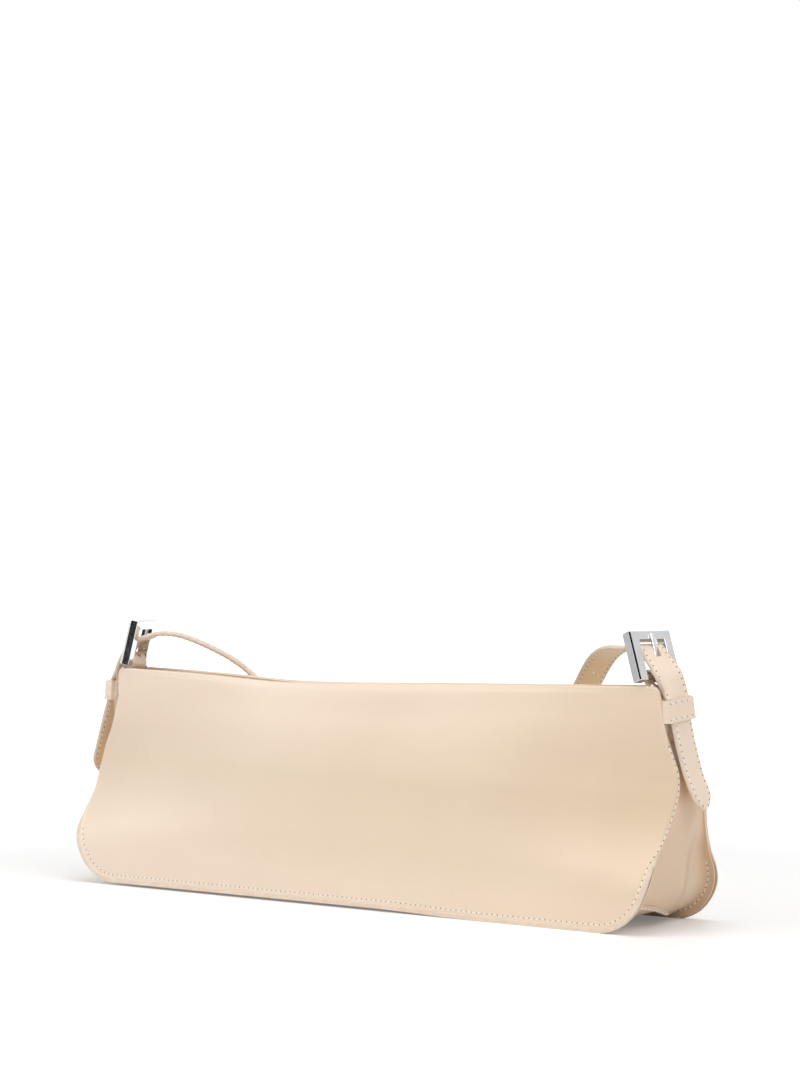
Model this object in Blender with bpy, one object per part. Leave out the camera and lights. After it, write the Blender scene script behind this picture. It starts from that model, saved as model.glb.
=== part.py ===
"""Long, low leather shoulder bag: two bowed panels sewn to end gussets and a base, a recessed top zip,
a lining over a base board, and a narrow strap threaded through a square prong buckle at each end.

Metres, +Z up. The origin is on the floor under the middle of the bag. +X runs along it, -Y is the front.
Sizes that describe one end of the bag are measured outwards from its middle, and upwards from the floor.
"""

import math

import bmesh
import bpy
from mathutils import Matrix, Vector

MM = 0.001
SHARP_ANGLE = math.radians(35.0)

# Bag body
BAG_HEIGHT = 125.0 * MM
WIDEST_HALF_LENGTH = 203.5 * MM
BASE_HALF_DEPTH = 38.0 * MM
CORNER_RADIUS = 30.0 * MM
TOP_SAG = 2.4 * MM
PANEL_LEATHER = 1.3 * MM
HEM_TURN = 0.7 * MM
GUSSET_LEATHER = 0.9 * MM
FLANGE = 6.6 * MM
BASE_LIFT = 3.5 * MM
FIT = 0.35 * MM
SOFT_FIT = 0.5 * MM

# Shares of the bag's height, each with a share of the widest half length or of the base's half depth
EDGE_LENGTH_SHARES = (
    (0.0, 0.984), (0.24, 0.985), (0.4, 0.991), (0.56, 1.0), (0.64, 0.9936),
    (0.72, 0.9754), (0.8, 0.96), (0.88, 0.949), (1.0, 0.9366),
)
EDGE_DEPTH_SHARES = (
    (0.0, 1.0), (0.08, 0.997), (0.16, 0.971), (0.24, 0.879), (0.32, 0.724), (0.4, 0.574),
    (0.48, 0.455), (0.56, 0.36), (0.64, 0.288), (0.72, 0.268), (0.88, 0.268), (0.945, 0.288), (1.0, 0.31),
)
MIDDLE_DEPTH_SHARES = (
    (0.0, 1.0), (0.08, 1.0), (0.24, 0.947), (0.4, 0.842), (0.56, 0.71), (0.72, 0.553), (0.88, 0.395),
    (1.0, 0.29),
)
FLANGE_SHARES = ((0.0, 0.76), (0.5, 0.76), (0.72, 1.0), (1.0, 1.0))
BOW_POWER = 2.6
SAG_POWER = 3
ROW_SHARES = (
    0.0, 0.02, 0.045, 0.08, 0.12, 0.16, 0.2, 0.25, 0.32, 0.4, 0.48, 0.56, 0.64, 0.72, 0.8, 0.88, 0.945, 1.0,
)
COLUMN_SHARES = (0.0, 0.16, 0.32, 0.48, 0.62, 0.74, 0.84, 0.91, 0.96, 1.0)
HEM_FROM_SHARE = 0.93
GUSSET_TOP_SHARE = 0.945
GUSSET_FOOT_SHARE = 0.16
GUSSET_STRAIGHT_SHARE = 0.72
GUSSET_BULGE = 1.5 * MM
ACROSS_SHARES = (-1.0, -0.6, -0.2, 0.2, 0.6, 1.0)

# Base
BASE_ACROSS_SHARES = (-1.0, -0.8, -0.45, 0.0, 0.45, 0.8, 1.0)
BASE_FLAT_ACROSS_SHARE = 0.85
BASE_FLAT_ALONG_SHARE = 0.8
BASE_ALONG_SHARES = (1.0, 0.9, 0.78, 0.6, 0.4, 0.2, 0.0)
BASE_CORNER_STEPS = 5
BOARD_THICKNESS = 1.5 * MM
BOARD_END_ROOM = 37.5 * MM
BOARD_HALF_LENGTH = WIDEST_HALF_LENGTH - BOARD_END_ROOM
BOARD_MARGIN = 1.2 * MM
PADDING_END_ROOM = 38.0 * MM
PADDING_SIDE_ROOM = 11.0 * MM
PADDING_HALF_LENGTH = BOARD_HALF_LENGTH - PADDING_END_ROOM
PADDING_HALF_DEPTH = BASE_HALF_DEPTH - PADDING_SIDE_ROOM

# Lining and pocket
LINING_CLOTH = 0.8 * MM
LINING_EASE = 0.7 * MM
POCKET_HALF_LENGTH = 62.0 * MM
POCKET_FOOT_HEIGHT = 26.0 * MM
POCKET_TOP_HEIGHT = 84.0 * MM
POCKET_ROWS = 6
POCKET_COLUMNS = 7

# Zip
ZIP_DROP = 12.4 * MM
ZIP_END_ROOM = 33.5 * MM
ZIP_HEIGHT = BAG_HEIGHT - ZIP_DROP
ZIP_HALF_LENGTH = WIDEST_HALF_LENGTH - ZIP_END_ROOM
TAPE_THICKNESS = 1.0 * MM
TAPE_OVERHANG = 8.0 * MM
CHAIN_WIDTH = 2.2 * MM
CHAIN_THICKNESS = 2.4 * MM
CHAIN_PARTING = 1.0 * MM
STOP_LENGTH = 3.0 * MM
SLIDER_FROM_END = 18.0 * MM
SLIDER_PARKED_AT = SLIDER_FROM_END - ZIP_HALF_LENGTH
SLIDER_LENGTH = 11.0 * MM
SLIDER_WIDTH = 9.0 * MM
SLIDER_PLATE = 1.2 * MM
SLIDER_WEB = 0.4 * MM
BAIL_WIRE = 1.2 * MM
BAIL_SPAN = 7.0 * MM
BAIL_CLEAR = 2.2 * MM
PULLER_BAR = 1.2 * MM
PULLER_EYE_GAP = 0.5 * MM
PULLER_ARM = 1.0 * MM
PULLER_LENGTH = 22.0 * MM

# The strap's section
STRAP_WIDTH = 15.0 * MM
STRAP_THICKNESS = 2.4 * MM

# Buckles, one at each end
FRAME_HEIGHT = 26.0 * MM
FRAME_THICKNESS = 4.5 * MM
FRAME_SIDE = 5.5 * MM
STRAP_SIDE_PLAY = 1.0 * MM
FRAME_WIDTH = STRAP_WIDTH + 2 * (STRAP_SIDE_PLAY + FRAME_SIDE)
FRAME_TOP = 5.0 * MM
FRAME_BELOW_PIN = 2.2 * MM
FRAME_BEVEL = 0.45 * MM
PIN_RADIUS = 1.6 * MM
PIN_SEAT = 3.0 * MM
PIN_RISE = 5.3 * MM
PIN_HEIGHT = BAG_HEIGHT + PIN_RISE
PRONG_WIDTH = 2.8 * MM
PRONG_THICKNESS = 1.3 * MM
PRONG_TIP_BELOW_FRAME_TOP = 1.2 * MM
PRONG_PLAY = 1.1 * MM
PRONG_WRAP = math.radians(210.0)
PRONG_WRAP_STEPS = 7
PRONG_SHARES = (0.35, 0.7, 1.0)
BUCKLE_YAW = math.radians(17.0)

# Chape: the folded tab that ties the buckle to the end of the bag
CHAPE_MARGIN = 0.5 * MM
CHAPE_WIDTH = STRAP_WIDTH - 2 * CHAPE_MARGIN
CHAPE_LEATHER = 1.5 * MM
CHAPE_DROP = 28.0 * MM
CHAPE_SEWN_LENGTH = 7.0 * MM
CHAPE_FOOT_HEIGHT = BAG_HEIGHT - CHAPE_DROP
CHAPE_SEWN_TOP = CHAPE_FOOT_HEIGHT + CHAPE_SEWN_LENGTH
CHAPE_LOOP_STEPS = 8
CHAPE_TURN_SHARE = 0.25
CHAPE_WRAP_FROM = math.radians(12.0)
CHAPE_WRAP_TO = math.radians(206.0)

# Keeper: the sewn loop that holds the strap's tail
KEEPER_HEIGHT = 11.0 * MM
KEEPER_LEATHER = 1.0 * MM
KEEPER_DEPTH = 8.2 * MM
KEEPER_DROP = 11.0 * MM
KEEPER_CENTRE_HEIGHT = BAG_HEIGHT - KEEPER_DROP
KEEPER_NECK_HALF_WIDTH = 6.8 * MM
KEEPER_SHOULDER_DEPTH = 5.5 * MM
KEEPER_SHOULDER_STEP = 0.5 * MM
KEEPER_CORNER = 1.3 * MM
KEEPER_LEAN = math.radians(9.0)

# Strap
STRAP_TIP_LENGTH = 9.0 * MM
STRAP_TIP_BLUNT_SHARE = 0.12
STRAP_JOIN_ROOM = 37.5 * MM
STRAP_JOIN_AT = WIDEST_HALF_LENGTH - STRAP_JOIN_ROOM
STRAP_AXIS_RISE = 14.3 * MM
STRAP_AXIS_HEIGHT = PIN_HEIGHT + STRAP_AXIS_RISE
STRAP_AXIS_BACK = 3.2 * MM
STRAP_HOLE_RADIUS = 1.3 * MM
STRAP_STEP = 7.0 * MM
STRAP_END_STEP = 3.0 * MM
SWIVEL_SLIT = 0.4 * MM
TAIL_LENGTH = 52.0 * MM
STRAP_CLEAR_BEHIND = 1.5 * MM
STRAP_BEHIND = BASE_HALF_DEPTH + STRAP_WIDTH / 2 + STRAP_CLEAR_BEHIND
CURVE_PARTS = 20
# The strap's middle line through a buckle, in shares of the frame's height: up the frame and out of it
THREAD_SHARES = (
    (0.675, -0.24), (0.662, -0.115), (0.65, -0.02), (0.585, 0.085), (0.45, 0.165), (0.28, 0.235),
    (0.06, 0.285), (-0.2, 0.3),
)
# The tail below the keeper's middle, in shares of its length: down and outwards
TAIL_SHARES = (
    (-0.11, -0.0175), (0.0, 0.0), (0.11, 0.0175), (0.25, 0.066), (0.5, 0.15), (0.81, 0.25), (1.0, 0.3),
)
# The span from the right buckle to the left: shares of the half span, of the reach behind, of the height
SPAN_SHARES = (
    (1.0, 0.068, 0.997), (0.965, 0.085, 1.0), (0.925, 0.14, 1.0), (0.862, 0.25, 0.985), (0.8, 0.37, 0.915),
    (0.742, 0.52, 0.862), (0.67, 0.7, 0.755), (0.575, 0.86, 0.56), (0.455, 0.96, 0.32), (0.31, 1.0, 0.135),
    (0.14, 1.02, 0.04), (0.0, 1.02, 0.022), (-0.14, 1.02, 0.04), (-0.29, 1.0, 0.125), (-0.425, 0.96, 0.3),
    (-0.54, 0.86, 0.53), (-0.635, 0.72, 0.72), (-0.7, 0.6, 0.832), (-0.75, 0.47, 0.889), (-0.825, 0.3, 0.95),
    (-0.91, 0.17, 1.003), (-0.965, 0.1, 1.008), (-1.0, 0.072, 1.003),
)
SPAN_HOLE_SHARES = (0.05, 0.115, 0.885, 0.95)

# Each end: side along X, how far out the pin and the keeper's face lie, and how far the frame leans inwards
RIGHT_PIN_INSIDE = 20.1 * MM
RIGHT_KEEPER_INSIDE = 3.9 * MM
LEFT_PIN_INSIDE = 13.5 * MM
LEFT_KEEPER_OUTSIDE = 1.4 * MM
ENDS = {
    "right": {
        "side": 1,
        "pin_out": WIDEST_HALF_LENGTH - RIGHT_PIN_INSIDE,
        "keeper_out": WIDEST_HALF_LENGTH - RIGHT_KEEPER_INSIDE,
        "lean": math.radians(19.7),
    },
    "left": {
        "side": -1,
        "pin_out": WIDEST_HALF_LENGTH - LEFT_PIN_INSIDE,
        "keeper_out": WIDEST_HALF_LENGTH + LEFT_KEEPER_OUTSIDE,
        "lean": math.radians(14.0),
    },
}

LEATHER = ("cream_leather", (0.83, 0.71, 0.57), 0.38, 0.0)
STEEL = ("polished_steel", (0.8, 0.8, 0.8), 0.12, 1.0)
CLOTH = ("lining_cloth", (0.6, 0.5, 0.4), 0.85, 0.0)
TAPE = ("zip_tape", (0.76, 0.65, 0.52), 0.8, 0.0)
BOARD = ("board", (0.35, 0.3, 0.25), 0.9, 0.0)


def material(kind):
    name, colour, roughness, metallic = kind
    found = bpy.data.materials.get(name)
    if found:
        return found
    made = bpy.data.materials.new(name)
    made.use_nodes = True
    shader = made.node_tree.nodes["Principled BSDF"]
    shader.inputs["Base Color"].default_value = (*colour, 1.0)
    shader.inputs["Roughness"].default_value = roughness
    shader.inputs["Metallic"].default_value = metallic
    return made


def add(name, mesh, kind, smooth=True):
    mesh.materials.append(material(kind))
    made = bpy.data.objects.new(name, mesh)
    bpy.context.collection.objects.link(made)
    if smooth:
        mesh.shade_smooth()
        mesh.set_sharp_from_angle(angle=SHARP_ANGLE)
    return made


def mesh_from(name, points, faces):
    work = bmesh.new()
    corners = [work.verts.new(point) for point in points]
    for face in faces:
        work.faces.new([corners[index] for index in face])
    bmesh.ops.recalc_face_normals(work, faces=work.faces)
    if work.calc_volume(signed=True) < 0:
        bmesh.ops.reverse_faces(work, faces=work.faces)
    mesh = bpy.data.meshes.new(name)
    work.to_mesh(mesh)
    work.free()
    return mesh


def closed_sheet(name, outer, inner, kind, ring=False):
    """Joins two grids of points, row by row, into one closed sheet. A ring's last row meets its first."""
    rows, columns = len(outer), len(outer[0])
    points = [point for grid in (outer, inner) for row in grid for point in row]
    half = rows * columns

    def at(layer, row, column):
        return layer * half + (row % rows) * columns + column

    faces = []
    for row in range(rows if ring else rows - 1):
        for column in range(columns - 1):
            for layer in (0, 1):
                faces.append([at(layer, row, column), at(layer, row + 1, column),
                              at(layer, row + 1, column + 1), at(layer, row, column + 1)])
        for column in (0, columns - 1):
            faces.append([at(0, row, column), at(0, row + 1, column),
                          at(1, row + 1, column), at(1, row, column)])
    if not ring:
        for row in (0, rows - 1):
            for column in range(columns - 1):
                faces.append([at(0, row, column), at(0, row, column + 1),
                              at(1, row, column + 1), at(1, row, column)])
    return add(name, mesh_from(name, points, faces), kind)


def box_faces(first):
    return [[first + index for index in face] for face in (
        (0, 1, 3, 2), (4, 6, 7, 5), (0, 4, 5, 1), (2, 3, 7, 6), (0, 2, 6, 4), (1, 5, 7, 3))]


def box_corners(low, high):
    return [(x, y, z) for x in (low[0], high[0]) for y in (low[1], high[1]) for z in (low[2], high[2])]


def boxes(name, blocks, kind):
    """One object of separate or touching blocks, each given by its low and high corner."""
    points, faces = [], []
    for low, high in blocks:
        faces += box_faces(len(points))
        points += box_corners(low, high)
    return add(name, mesh_from(name, points, faces), kind, smooth=False)


def cutter(mesh):
    made = bpy.data.objects.new(mesh.name, mesh)
    bpy.context.collection.objects.link(made)
    made.hide_render = True
    made.display_type = "WIRE"
    return made


def apply_boolean(target, tool, operation):
    step = target.modifiers.new(operation.lower(), "BOOLEAN")
    step.operation = operation
    step.solver = "EXACT"
    step.object = tool


def rod_mesh(name, centre, direction, radius, length, sides=12):
    work = bmesh.new()
    bmesh.ops.create_cone(work, cap_ends=True, segments=sides, radius1=radius, radius2=radius, depth=length)
    turn = direction.to_track_quat("Z", "Y").to_matrix().to_4x4()
    bmesh.ops.transform(work, matrix=Matrix.Translation(centre) @ turn, verts=work.verts)
    mesh = bpy.data.meshes.new(name)
    work.to_mesh(mesh)
    work.free()
    return mesh


def smooth_value(shares, place):
    """Reads a monotone cubic through a table of (place, value)."""
    places = [pair[0] for pair in shares]
    values = [pair[1] for pair in shares]
    last = len(shares) - 1
    place = min(max(place, places[0]), places[last])
    index = next(i for i in range(last) if place <= places[i + 1])
    rises = [(values[i + 1] - values[i]) / (places[i + 1] - places[i]) for i in range(last)]

    def slope(knot):
        if knot == 0 or knot == last:
            return rises[min(knot, last - 1)]
        before, after = rises[knot - 1], rises[knot]
        return 2 * before * after / (before + after) if before * after > 0 else 0.0

    gap = places[index + 1] - places[index]
    t = (place - places[index]) / gap
    return (values[index] * (1 + 2 * t) * (1 - t) ** 2 + values[index + 1] * t * t * (3 - 2 * t)
            + gap * (slope(index) * t * (1 - t) ** 2 - slope(index + 1) * t * t * (1 - t)))


def side_length(height):
    return WIDEST_HALF_LENGTH * smooth_value(EDGE_LENGTH_SHARES, height / BAG_HEIGHT)


def corner_centre():
    return side_length(0.0) - CORNER_RADIUS


def half_length(height):
    """How far out the panels' sewn edge lies at a height, the round lower corner included."""
    drop = max(CORNER_RADIUS - height, 0.0)
    return side_length(height) - CORNER_RADIUS + math.sqrt(CORNER_RADIUS ** 2 - drop ** 2)


def half_depth(out, height):
    """The panels' outer face: how far it stands from the middle plane."""
    share = height / BAG_HEIGHT
    edge = smooth_value(EDGE_DEPTH_SHARES, share)
    middle = smooth_value(MIDDLE_DEPTH_SHARES, share)
    bow = 1 - min(abs(out) / side_length(height), 1.0) ** BOW_POWER
    return BASE_HALF_DEPTH * (edge + (middle - edge) * bow)


def wall(height):
    return PANEL_LEATHER + (HEM_TURN if height >= HEM_FROM_SHARE * BAG_HEIGHT else 0.0)


def sag(out, height):
    along = out / half_length(height)
    return TOP_SAG * (1 - along ** 2) * (height / BAG_HEIGHT) ** SAG_POWER


def panel(name, side):
    """A bowed panel with round lower corners and a turned hem at its top. side is -1 for the front."""
    shares = [-share for share in reversed(COLUMN_SHARES[1:])] + list(COLUMN_SHARES)
    outer, inner = [], []
    for row in ROW_SHARES:
        height = row * BAG_HEIGHT
        for layer, skin in ((outer, 0.0), (inner, wall(height))):
            outs = [share * half_length(height) for share in shares]
            layer.append([(x, side * (half_depth(x, height) - skin), height - sag(x, height)) for x in outs])
    return closed_sheet(name, outer, inner, LEATHER)


def recess(height):
    return FLANGE * smooth_value(FLANGE_SHARES, height / BAG_HEIGHT)


def gusset_face(height):
    """How far out the gusset's outer face lies between its two sewn flanges."""
    return half_length(height) - recess(height)


def band_row(edge, inward, depth_of, lift, leather, bulge):
    """One station of a sewn band: its flanges lie against the panels, and its web is sunk between them."""
    sheet = ([], [])
    for layer, skin in enumerate((0.0, leather)):
        rim = edge
        sunk = edge + inward * (lift + leather - skin)
        rim_depth = depth_of(rim) - skin
        sunk_depth = depth_of(sunk) - skin
        web = []
        for share in ACROSS_SHARES:
            out = sunk - inward * bulge * (1 - share * share)
            web.append((out, share * sunk_depth))
        sheet[layer].extend([(rim, -rim_depth), *web, (rim, rim_depth)])
    return sheet


def panel_inside(place):
    return half_depth(place.x, place.y) - wall(place.y) - FIT


def gusset(name, side):
    outer, inner = [], []
    for row in ROW_SHARES:
        if not GUSSET_FOOT_SHARE <= row <= GUSSET_TOP_SHARE:
            continue
        height = row * BAG_HEIGHT
        edge = Vector((half_length(height), height))
        drop = max(CORNER_RADIUS - height, 0.0)
        inward = Vector((corner_centre() - edge.x, drop)).normalized() if drop else Vector((-1.0, 0.0))
        swell = GUSSET_BULGE * max(0.0, 1 - row / GUSSET_STRAIGHT_SHARE)
        faces = band_row(edge, inward, panel_inside, recess(height), GUSSET_LEATHER, swell)
        outer.append([(side * place.x, y, place.y) for place, y in faces[0]])
        inner.append([(side * place.x, y, place.y) for place, y in faces[1]])
    return closed_sheet(name, outer, inner, LEATHER)


def base_stations():
    """Places along the foot of the bag, from the right corner to the left, each with its way inwards."""
    centre = corner_centre()
    foot = GUSSET_FOOT_SHARE * BAG_HEIGHT
    first = math.asin((CORNER_RADIUS - foot) / CORNER_RADIUS) + FIT / CORNER_RADIUS
    stations = []
    for step in range(BASE_CORNER_STEPS):
        angle = first + (math.pi / 2 - first) * step / BASE_CORNER_STEPS
        spoke = Vector((math.cos(angle), -math.sin(angle)))
        stations.append((Vector((centre, CORNER_RADIUS)) + spoke * CORNER_RADIUS, -spoke))
    half = stations + [(Vector((share * centre, 0.0)), Vector((0.0, 1.0))) for share in BASE_ALONG_SHARES]
    mirrored = [(Vector((-place.x, place.y)), Vector((-way.x, way.y))) for place, way in reversed(half[:-1])]
    return half + mirrored


def base_sink(out, across_share):
    """The web's lift at its rim and none over the flat middle, where it rests on the floor."""
    flat_out = BASE_FLAT_ALONG_SHARE * corner_centre()
    if abs(out) <= flat_out and abs(across_share) <= BASE_FLAT_ACROSS_SHARE:
        return 0.0
    return BASE_LIFT


def base_panel():
    outer, inner = [], []
    for place, inward in base_stations():
        rows = []
        for skin in (0.0, GUSSET_LEATHER):
            rim_depth = panel_inside(Vector((abs(place.x), place.y))) - skin
            row = [(place, -rim_depth)]
            for share in BASE_ACROSS_SHARES:
                spot = place + inward * (base_sink(place.x, share) + GUSSET_LEATHER - skin)
                spot_depth = panel_inside(Vector((abs(spot.x), spot.y))) - skin
                row.append((spot, share * min(rim_depth, spot_depth)))
            rows.append(row + [(place, rim_depth)])
        outer.append([(spot.x, y, spot.y) for spot, y in rows[0]])
        inner.append([(spot.x, y, spot.y) for spot, y in rows[1]])
    return closed_sheet("base_panel", outer, inner, LEATHER)


def board_level():
    return BASE_LIFT + GUSSET_LEATHER + FIT


def base_insides():
    """The padding and the stiff board that lie on the base."""
    low = GUSSET_LEATHER + FIT
    top = board_level() - FIT
    boxes("base_padding", [((-PADDING_HALF_LENGTH, -PADDING_HALF_DEPTH, low),
                            (PADDING_HALF_LENGTH, PADDING_HALF_DEPTH, top))], CLOTH)
    width = BASE_HALF_DEPTH - PANEL_LEATHER - GUSSET_LEATHER - FIT - BOARD_MARGIN
    boxes("base_board", [((-BOARD_HALF_LENGTH, -width, board_level()),
                          (BOARD_HALF_LENGTH, width, board_level() + BOARD_THICKNESS))], BOARD)


def lining_out(height):
    """How far out the lining reaches, inside the gusset and the round corner."""
    skin = GUSSET_LEATHER + LINING_EASE
    drop = max(CORNER_RADIUS - height, 0.0)
    sunk = recess(height) if height >= GUSSET_FOOT_SHARE * BAG_HEIGHT else BASE_LIFT
    reach = CORNER_RADIUS - sunk - skin
    return side_length(height) - CORNER_RADIUS + math.sqrt(reach ** 2 - drop ** 2)


def lining_floor():
    return board_level() + BOARD_THICKNESS + FIT


def lining_top():
    return ZIP_HEIGHT - CHAIN_THICKNESS / 2 - FIT - SLIDER_PLATE - FIT


def lining_depth(out, height):
    return half_depth(out, height) - wall(height) - FIT - GUSSET_LEATHER - LINING_EASE


def lining():
    """An open-topped cloth bag, one closed solid with its inside and outside faces."""
    floor, top = lining_floor(), lining_top()
    heights = [floor] + [row * BAG_HEIGHT for row in ROW_SHARES if floor < row * BAG_HEIGHT < top] + [top]
    shares = [-share for share in reversed(COLUMN_SHARES[1:])] + list(COLUMN_SHARES)

    def ring(height, level, skin):
        reach = lining_out(height) - skin
        front = [(share * reach, -(lining_depth(share * reach, height) - skin), level) for share in shares]
        return front + [(x, -y, z) for x, y, z in reversed(front)]

    rings = [ring(height, height, 0.0) for height in heights]
    rings += [ring(height, height, LINING_CLOTH) for height in reversed(heights[1:])]
    rings.append(ring(floor, floor + LINING_CLOTH, LINING_CLOTH))
    count = len(rings[0])
    points = [point for one in rings for point in one]
    faces = [list(range(count)), list(range((len(rings) - 1) * count, len(rings) * count))]
    for level in range(len(rings) - 1):
        for index in range(count):
            after = (index + 1) % count
            faces.append([level * count + index, level * count + after,
                          (level + 1) * count + after, (level + 1) * count + index])
    return add("lining", mesh_from("lining", points, faces), CLOTH)


def slip_pocket():
    """A flat pocket sewn on the back of the lining, open at its top."""
    outer, inner = [], []
    for row in range(POCKET_ROWS):
        height = POCKET_FOOT_HEIGHT + (POCKET_TOP_HEIGHT - POCKET_FOOT_HEIGHT) * row / (POCKET_ROWS - 1)
        shares = [2 * column / (POCKET_COLUMNS - 1) - 1 for column in range(POCKET_COLUMNS)]
        outs = [POCKET_HALF_LENGTH * share for share in shares]
        faces = [lining_depth(x, height) - LINING_CLOTH - FIT for x in outs]
        outer.append([(x, y, height) for x, y in zip(outs, faces)])
        inner.append([(x, y - LINING_CLOTH, height) for x, y in zip(outs, faces)])
    return closed_sheet("slip_pocket", outer, inner, CLOTH)


def zip_closure():
    chain_in = CHAIN_PARTING / 2
    chain_out = chain_in + CHAIN_WIDTH
    low, high = ZIP_HEIGHT - CHAIN_THICKNESS / 2, ZIP_HEIGHT + CHAIN_THICKNESS / 2
    reach = ZIP_HALF_LENGTH + TAPE_OVERHANG
    shares = [-share for share in reversed(COLUMN_SHARES[1:])] + list(COLUMN_SHARES)
    for name, side in (("front", -1), ("back", 1)):
        rows = []
        for level in (ZIP_HEIGHT + TAPE_THICKNESS / 2, ZIP_HEIGHT - TAPE_THICKNESS / 2):
            row = []
            for share in shares:
                x = share * reach
                edge = half_depth(x, ZIP_HEIGHT) - wall(BAG_HEIGHT) - FIT
                row.append([(x, side * (chain_out + FIT), level), (x, side * edge, level)])
            rows.append(row)
        closed_sheet("zip_tape_" + name, rows[0], rows[1], TAPE)
        across = sorted((side * chain_in, side * chain_out))
        strip = ((-ZIP_HALF_LENGTH, across[0], low), (ZIP_HALF_LENGTH, across[1], high))
        boxes("zip_chain_" + name, [strip], STEEL)
    for name, side in (("left", -1), ("right", 1)):
        along = sorted((side * (ZIP_HALF_LENGTH + FIT), side * (ZIP_HALF_LENGTH + FIT + STOP_LENGTH)))
        boxes("zip_stop_" + name, [((along[0], -chain_out, low), (along[1], chain_out, high))], STEEL)


def slider_top():
    return ZIP_HEIGHT + CHAIN_THICKNESS / 2 + FIT + SLIDER_PLATE


def puller_axis_height():
    return slider_top() + FIT + PULLER_BAR / 2


def zip_slider():
    """Two plates joined by a web between the chains, with a wire bail on top."""
    x, half, wide = SLIDER_PARKED_AT, SLIDER_LENGTH / 2, SLIDER_WIDTH / 2
    face = ZIP_HEIGHT + CHAIN_THICKNESS / 2 + FIT
    sunk = ZIP_HEIGHT - CHAIN_THICKNESS / 2 - FIT
    top = slider_top()
    made = boxes("zip_slider", [((x - half, -wide, face), (x + half, wide, top))], STEEL)
    bail_top = top + BAIL_CLEAR
    leg, wire = BAIL_SPAN / 2, BAIL_WIRE / 2
    overrun = FIT
    parts = [
        ((x - half, -wide, sunk - SLIDER_PLATE), (x + half, wide, sunk)),
        ((x - half + overrun, -SLIDER_WEB / 2, sunk - overrun),
         (x + half - overrun, SLIDER_WEB / 2, face + overrun)),
        ((x - leg - wire, -wire, top - overrun), (x - leg + wire, wire, bail_top + BAIL_WIRE - overrun)),
        ((x + leg - wire, -wire, top - overrun), (x + leg + wire, wire, bail_top + BAIL_WIRE - overrun)),
        ((x - leg - wire, -wire, bail_top), (x + leg + wire, wire, bail_top + BAIL_WIRE)),
    ]
    for number, (low, high) in enumerate(parts):
        piece = "slider_part_{}".format(number)
        apply_boolean(made, cutter(mesh_from(piece, box_corners(low, high), box_faces(0))), "UNION")
    return made


def zip_puller():
    """A flat tab whose eye hooks under the slider's bail. Its origin is on the axis it turns about."""
    bar, arm = PULLER_BAR / 2, PULLER_ARM
    eye = BAIL_WIRE / 2 + PULLER_EYE_GAP
    wide = eye + arm
    bail_corner = Vector((BAIL_SPAN / 2 + BAIL_WIRE / 2, BAIL_CLEAR + BAIL_WIRE - FIT - bar))
    reach = bail_corner.length + PULLER_EYE_GAP
    made = boxes("zip_puller", [((-PULLER_LENGTH, -wide, -bar), (bar, wide, bar))], STEEL)
    window = box_corners((-reach, -eye, -2 * bar), (-bar, eye, 2 * bar))
    tool = cutter(mesh_from("puller_eye", window, box_faces(0)))
    apply_boolean(made, tool, "DIFFERENCE")
    spot = Vector((SLIDER_PARKED_AT, 0.0, puller_axis_height()))
    made.location = spot
    tool.location = spot
    return made


def buckle_matrix(end):
    """Local axes at the pin: across the bag, up the frame, and outwards."""
    flat = Vector((end["side"] * math.cos(BUCKLE_YAW), -math.sin(BUCKLE_YAW), 0.0))
    lift = Vector((0.0, 0.0, 1.0))
    up = lift * math.cos(end["lean"]) - flat * math.sin(end["lean"])
    outward = flat * math.cos(end["lean"]) + lift * math.sin(end["lean"])
    across = up.cross(outward)
    turn = Matrix((across, up, outward)).transposed().to_4x4()
    return Matrix.Translation((end["side"] * end["pin_out"], 0.0, PIN_HEIGHT)) @ turn


def buckle_frame(name, end):
    half, deep = FRAME_WIDTH / 2, FRAME_THICKNESS / 2
    inner = half - FRAME_SIDE
    foot, head = -FRAME_BELOW_PIN, FRAME_HEIGHT - FRAME_BELOW_PIN
    outline = [(-half, foot), (-inner, foot), (-inner, head - FRAME_TOP), (inner, head - FRAME_TOP),
               (inner, foot), (half, foot), (half, head), (-half, head)]
    work = bmesh.new()
    face = work.faces.new([work.verts.new((u, v, -deep)) for u, v in outline])
    grown = bmesh.ops.extrude_face_region(work, geom=[face])
    moved = [item for item in grown["geom"] if isinstance(item, bmesh.types.BMVert)]
    bmesh.ops.translate(work, vec=(0.0, 0.0, FRAME_THICKNESS), verts=moved)
    bmesh.ops.recalc_face_normals(work, faces=work.faces)
    mesh = bpy.data.meshes.new(name)
    work.to_mesh(mesh)
    work.free()
    made = add(name, mesh, STEEL, smooth=False)
    edge = made.modifiers.new("bevel", "BEVEL")
    edge.width = FRAME_BEVEL
    edge.segments = 1
    seat = cutter(rod_mesh("pin_seat_" + name, Vector((0.0, 0.0, 0.0)), Vector((1.0, 0.0, 0.0)),
                           PIN_RADIUS + FIT, 2 * (inner + PIN_SEAT)))
    apply_boolean(made, seat, "DIFFERENCE")
    made.matrix_world = buckle_matrix(end)
    seat.matrix_world = buckle_matrix(end)
    return made


def pivot_bar(name, end):
    length = 2 * (FRAME_WIDTH / 2 - FRAME_SIDE + PIN_SEAT - FIT)
    mesh = rod_mesh(name, Vector((0.0, 0.0, 0.0)), Vector((1.0, 0.0, 0.0)), PIN_RADIUS, length)
    made = add(name, mesh, STEEL)
    made.matrix_world = buckle_matrix(end)
    return made


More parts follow.
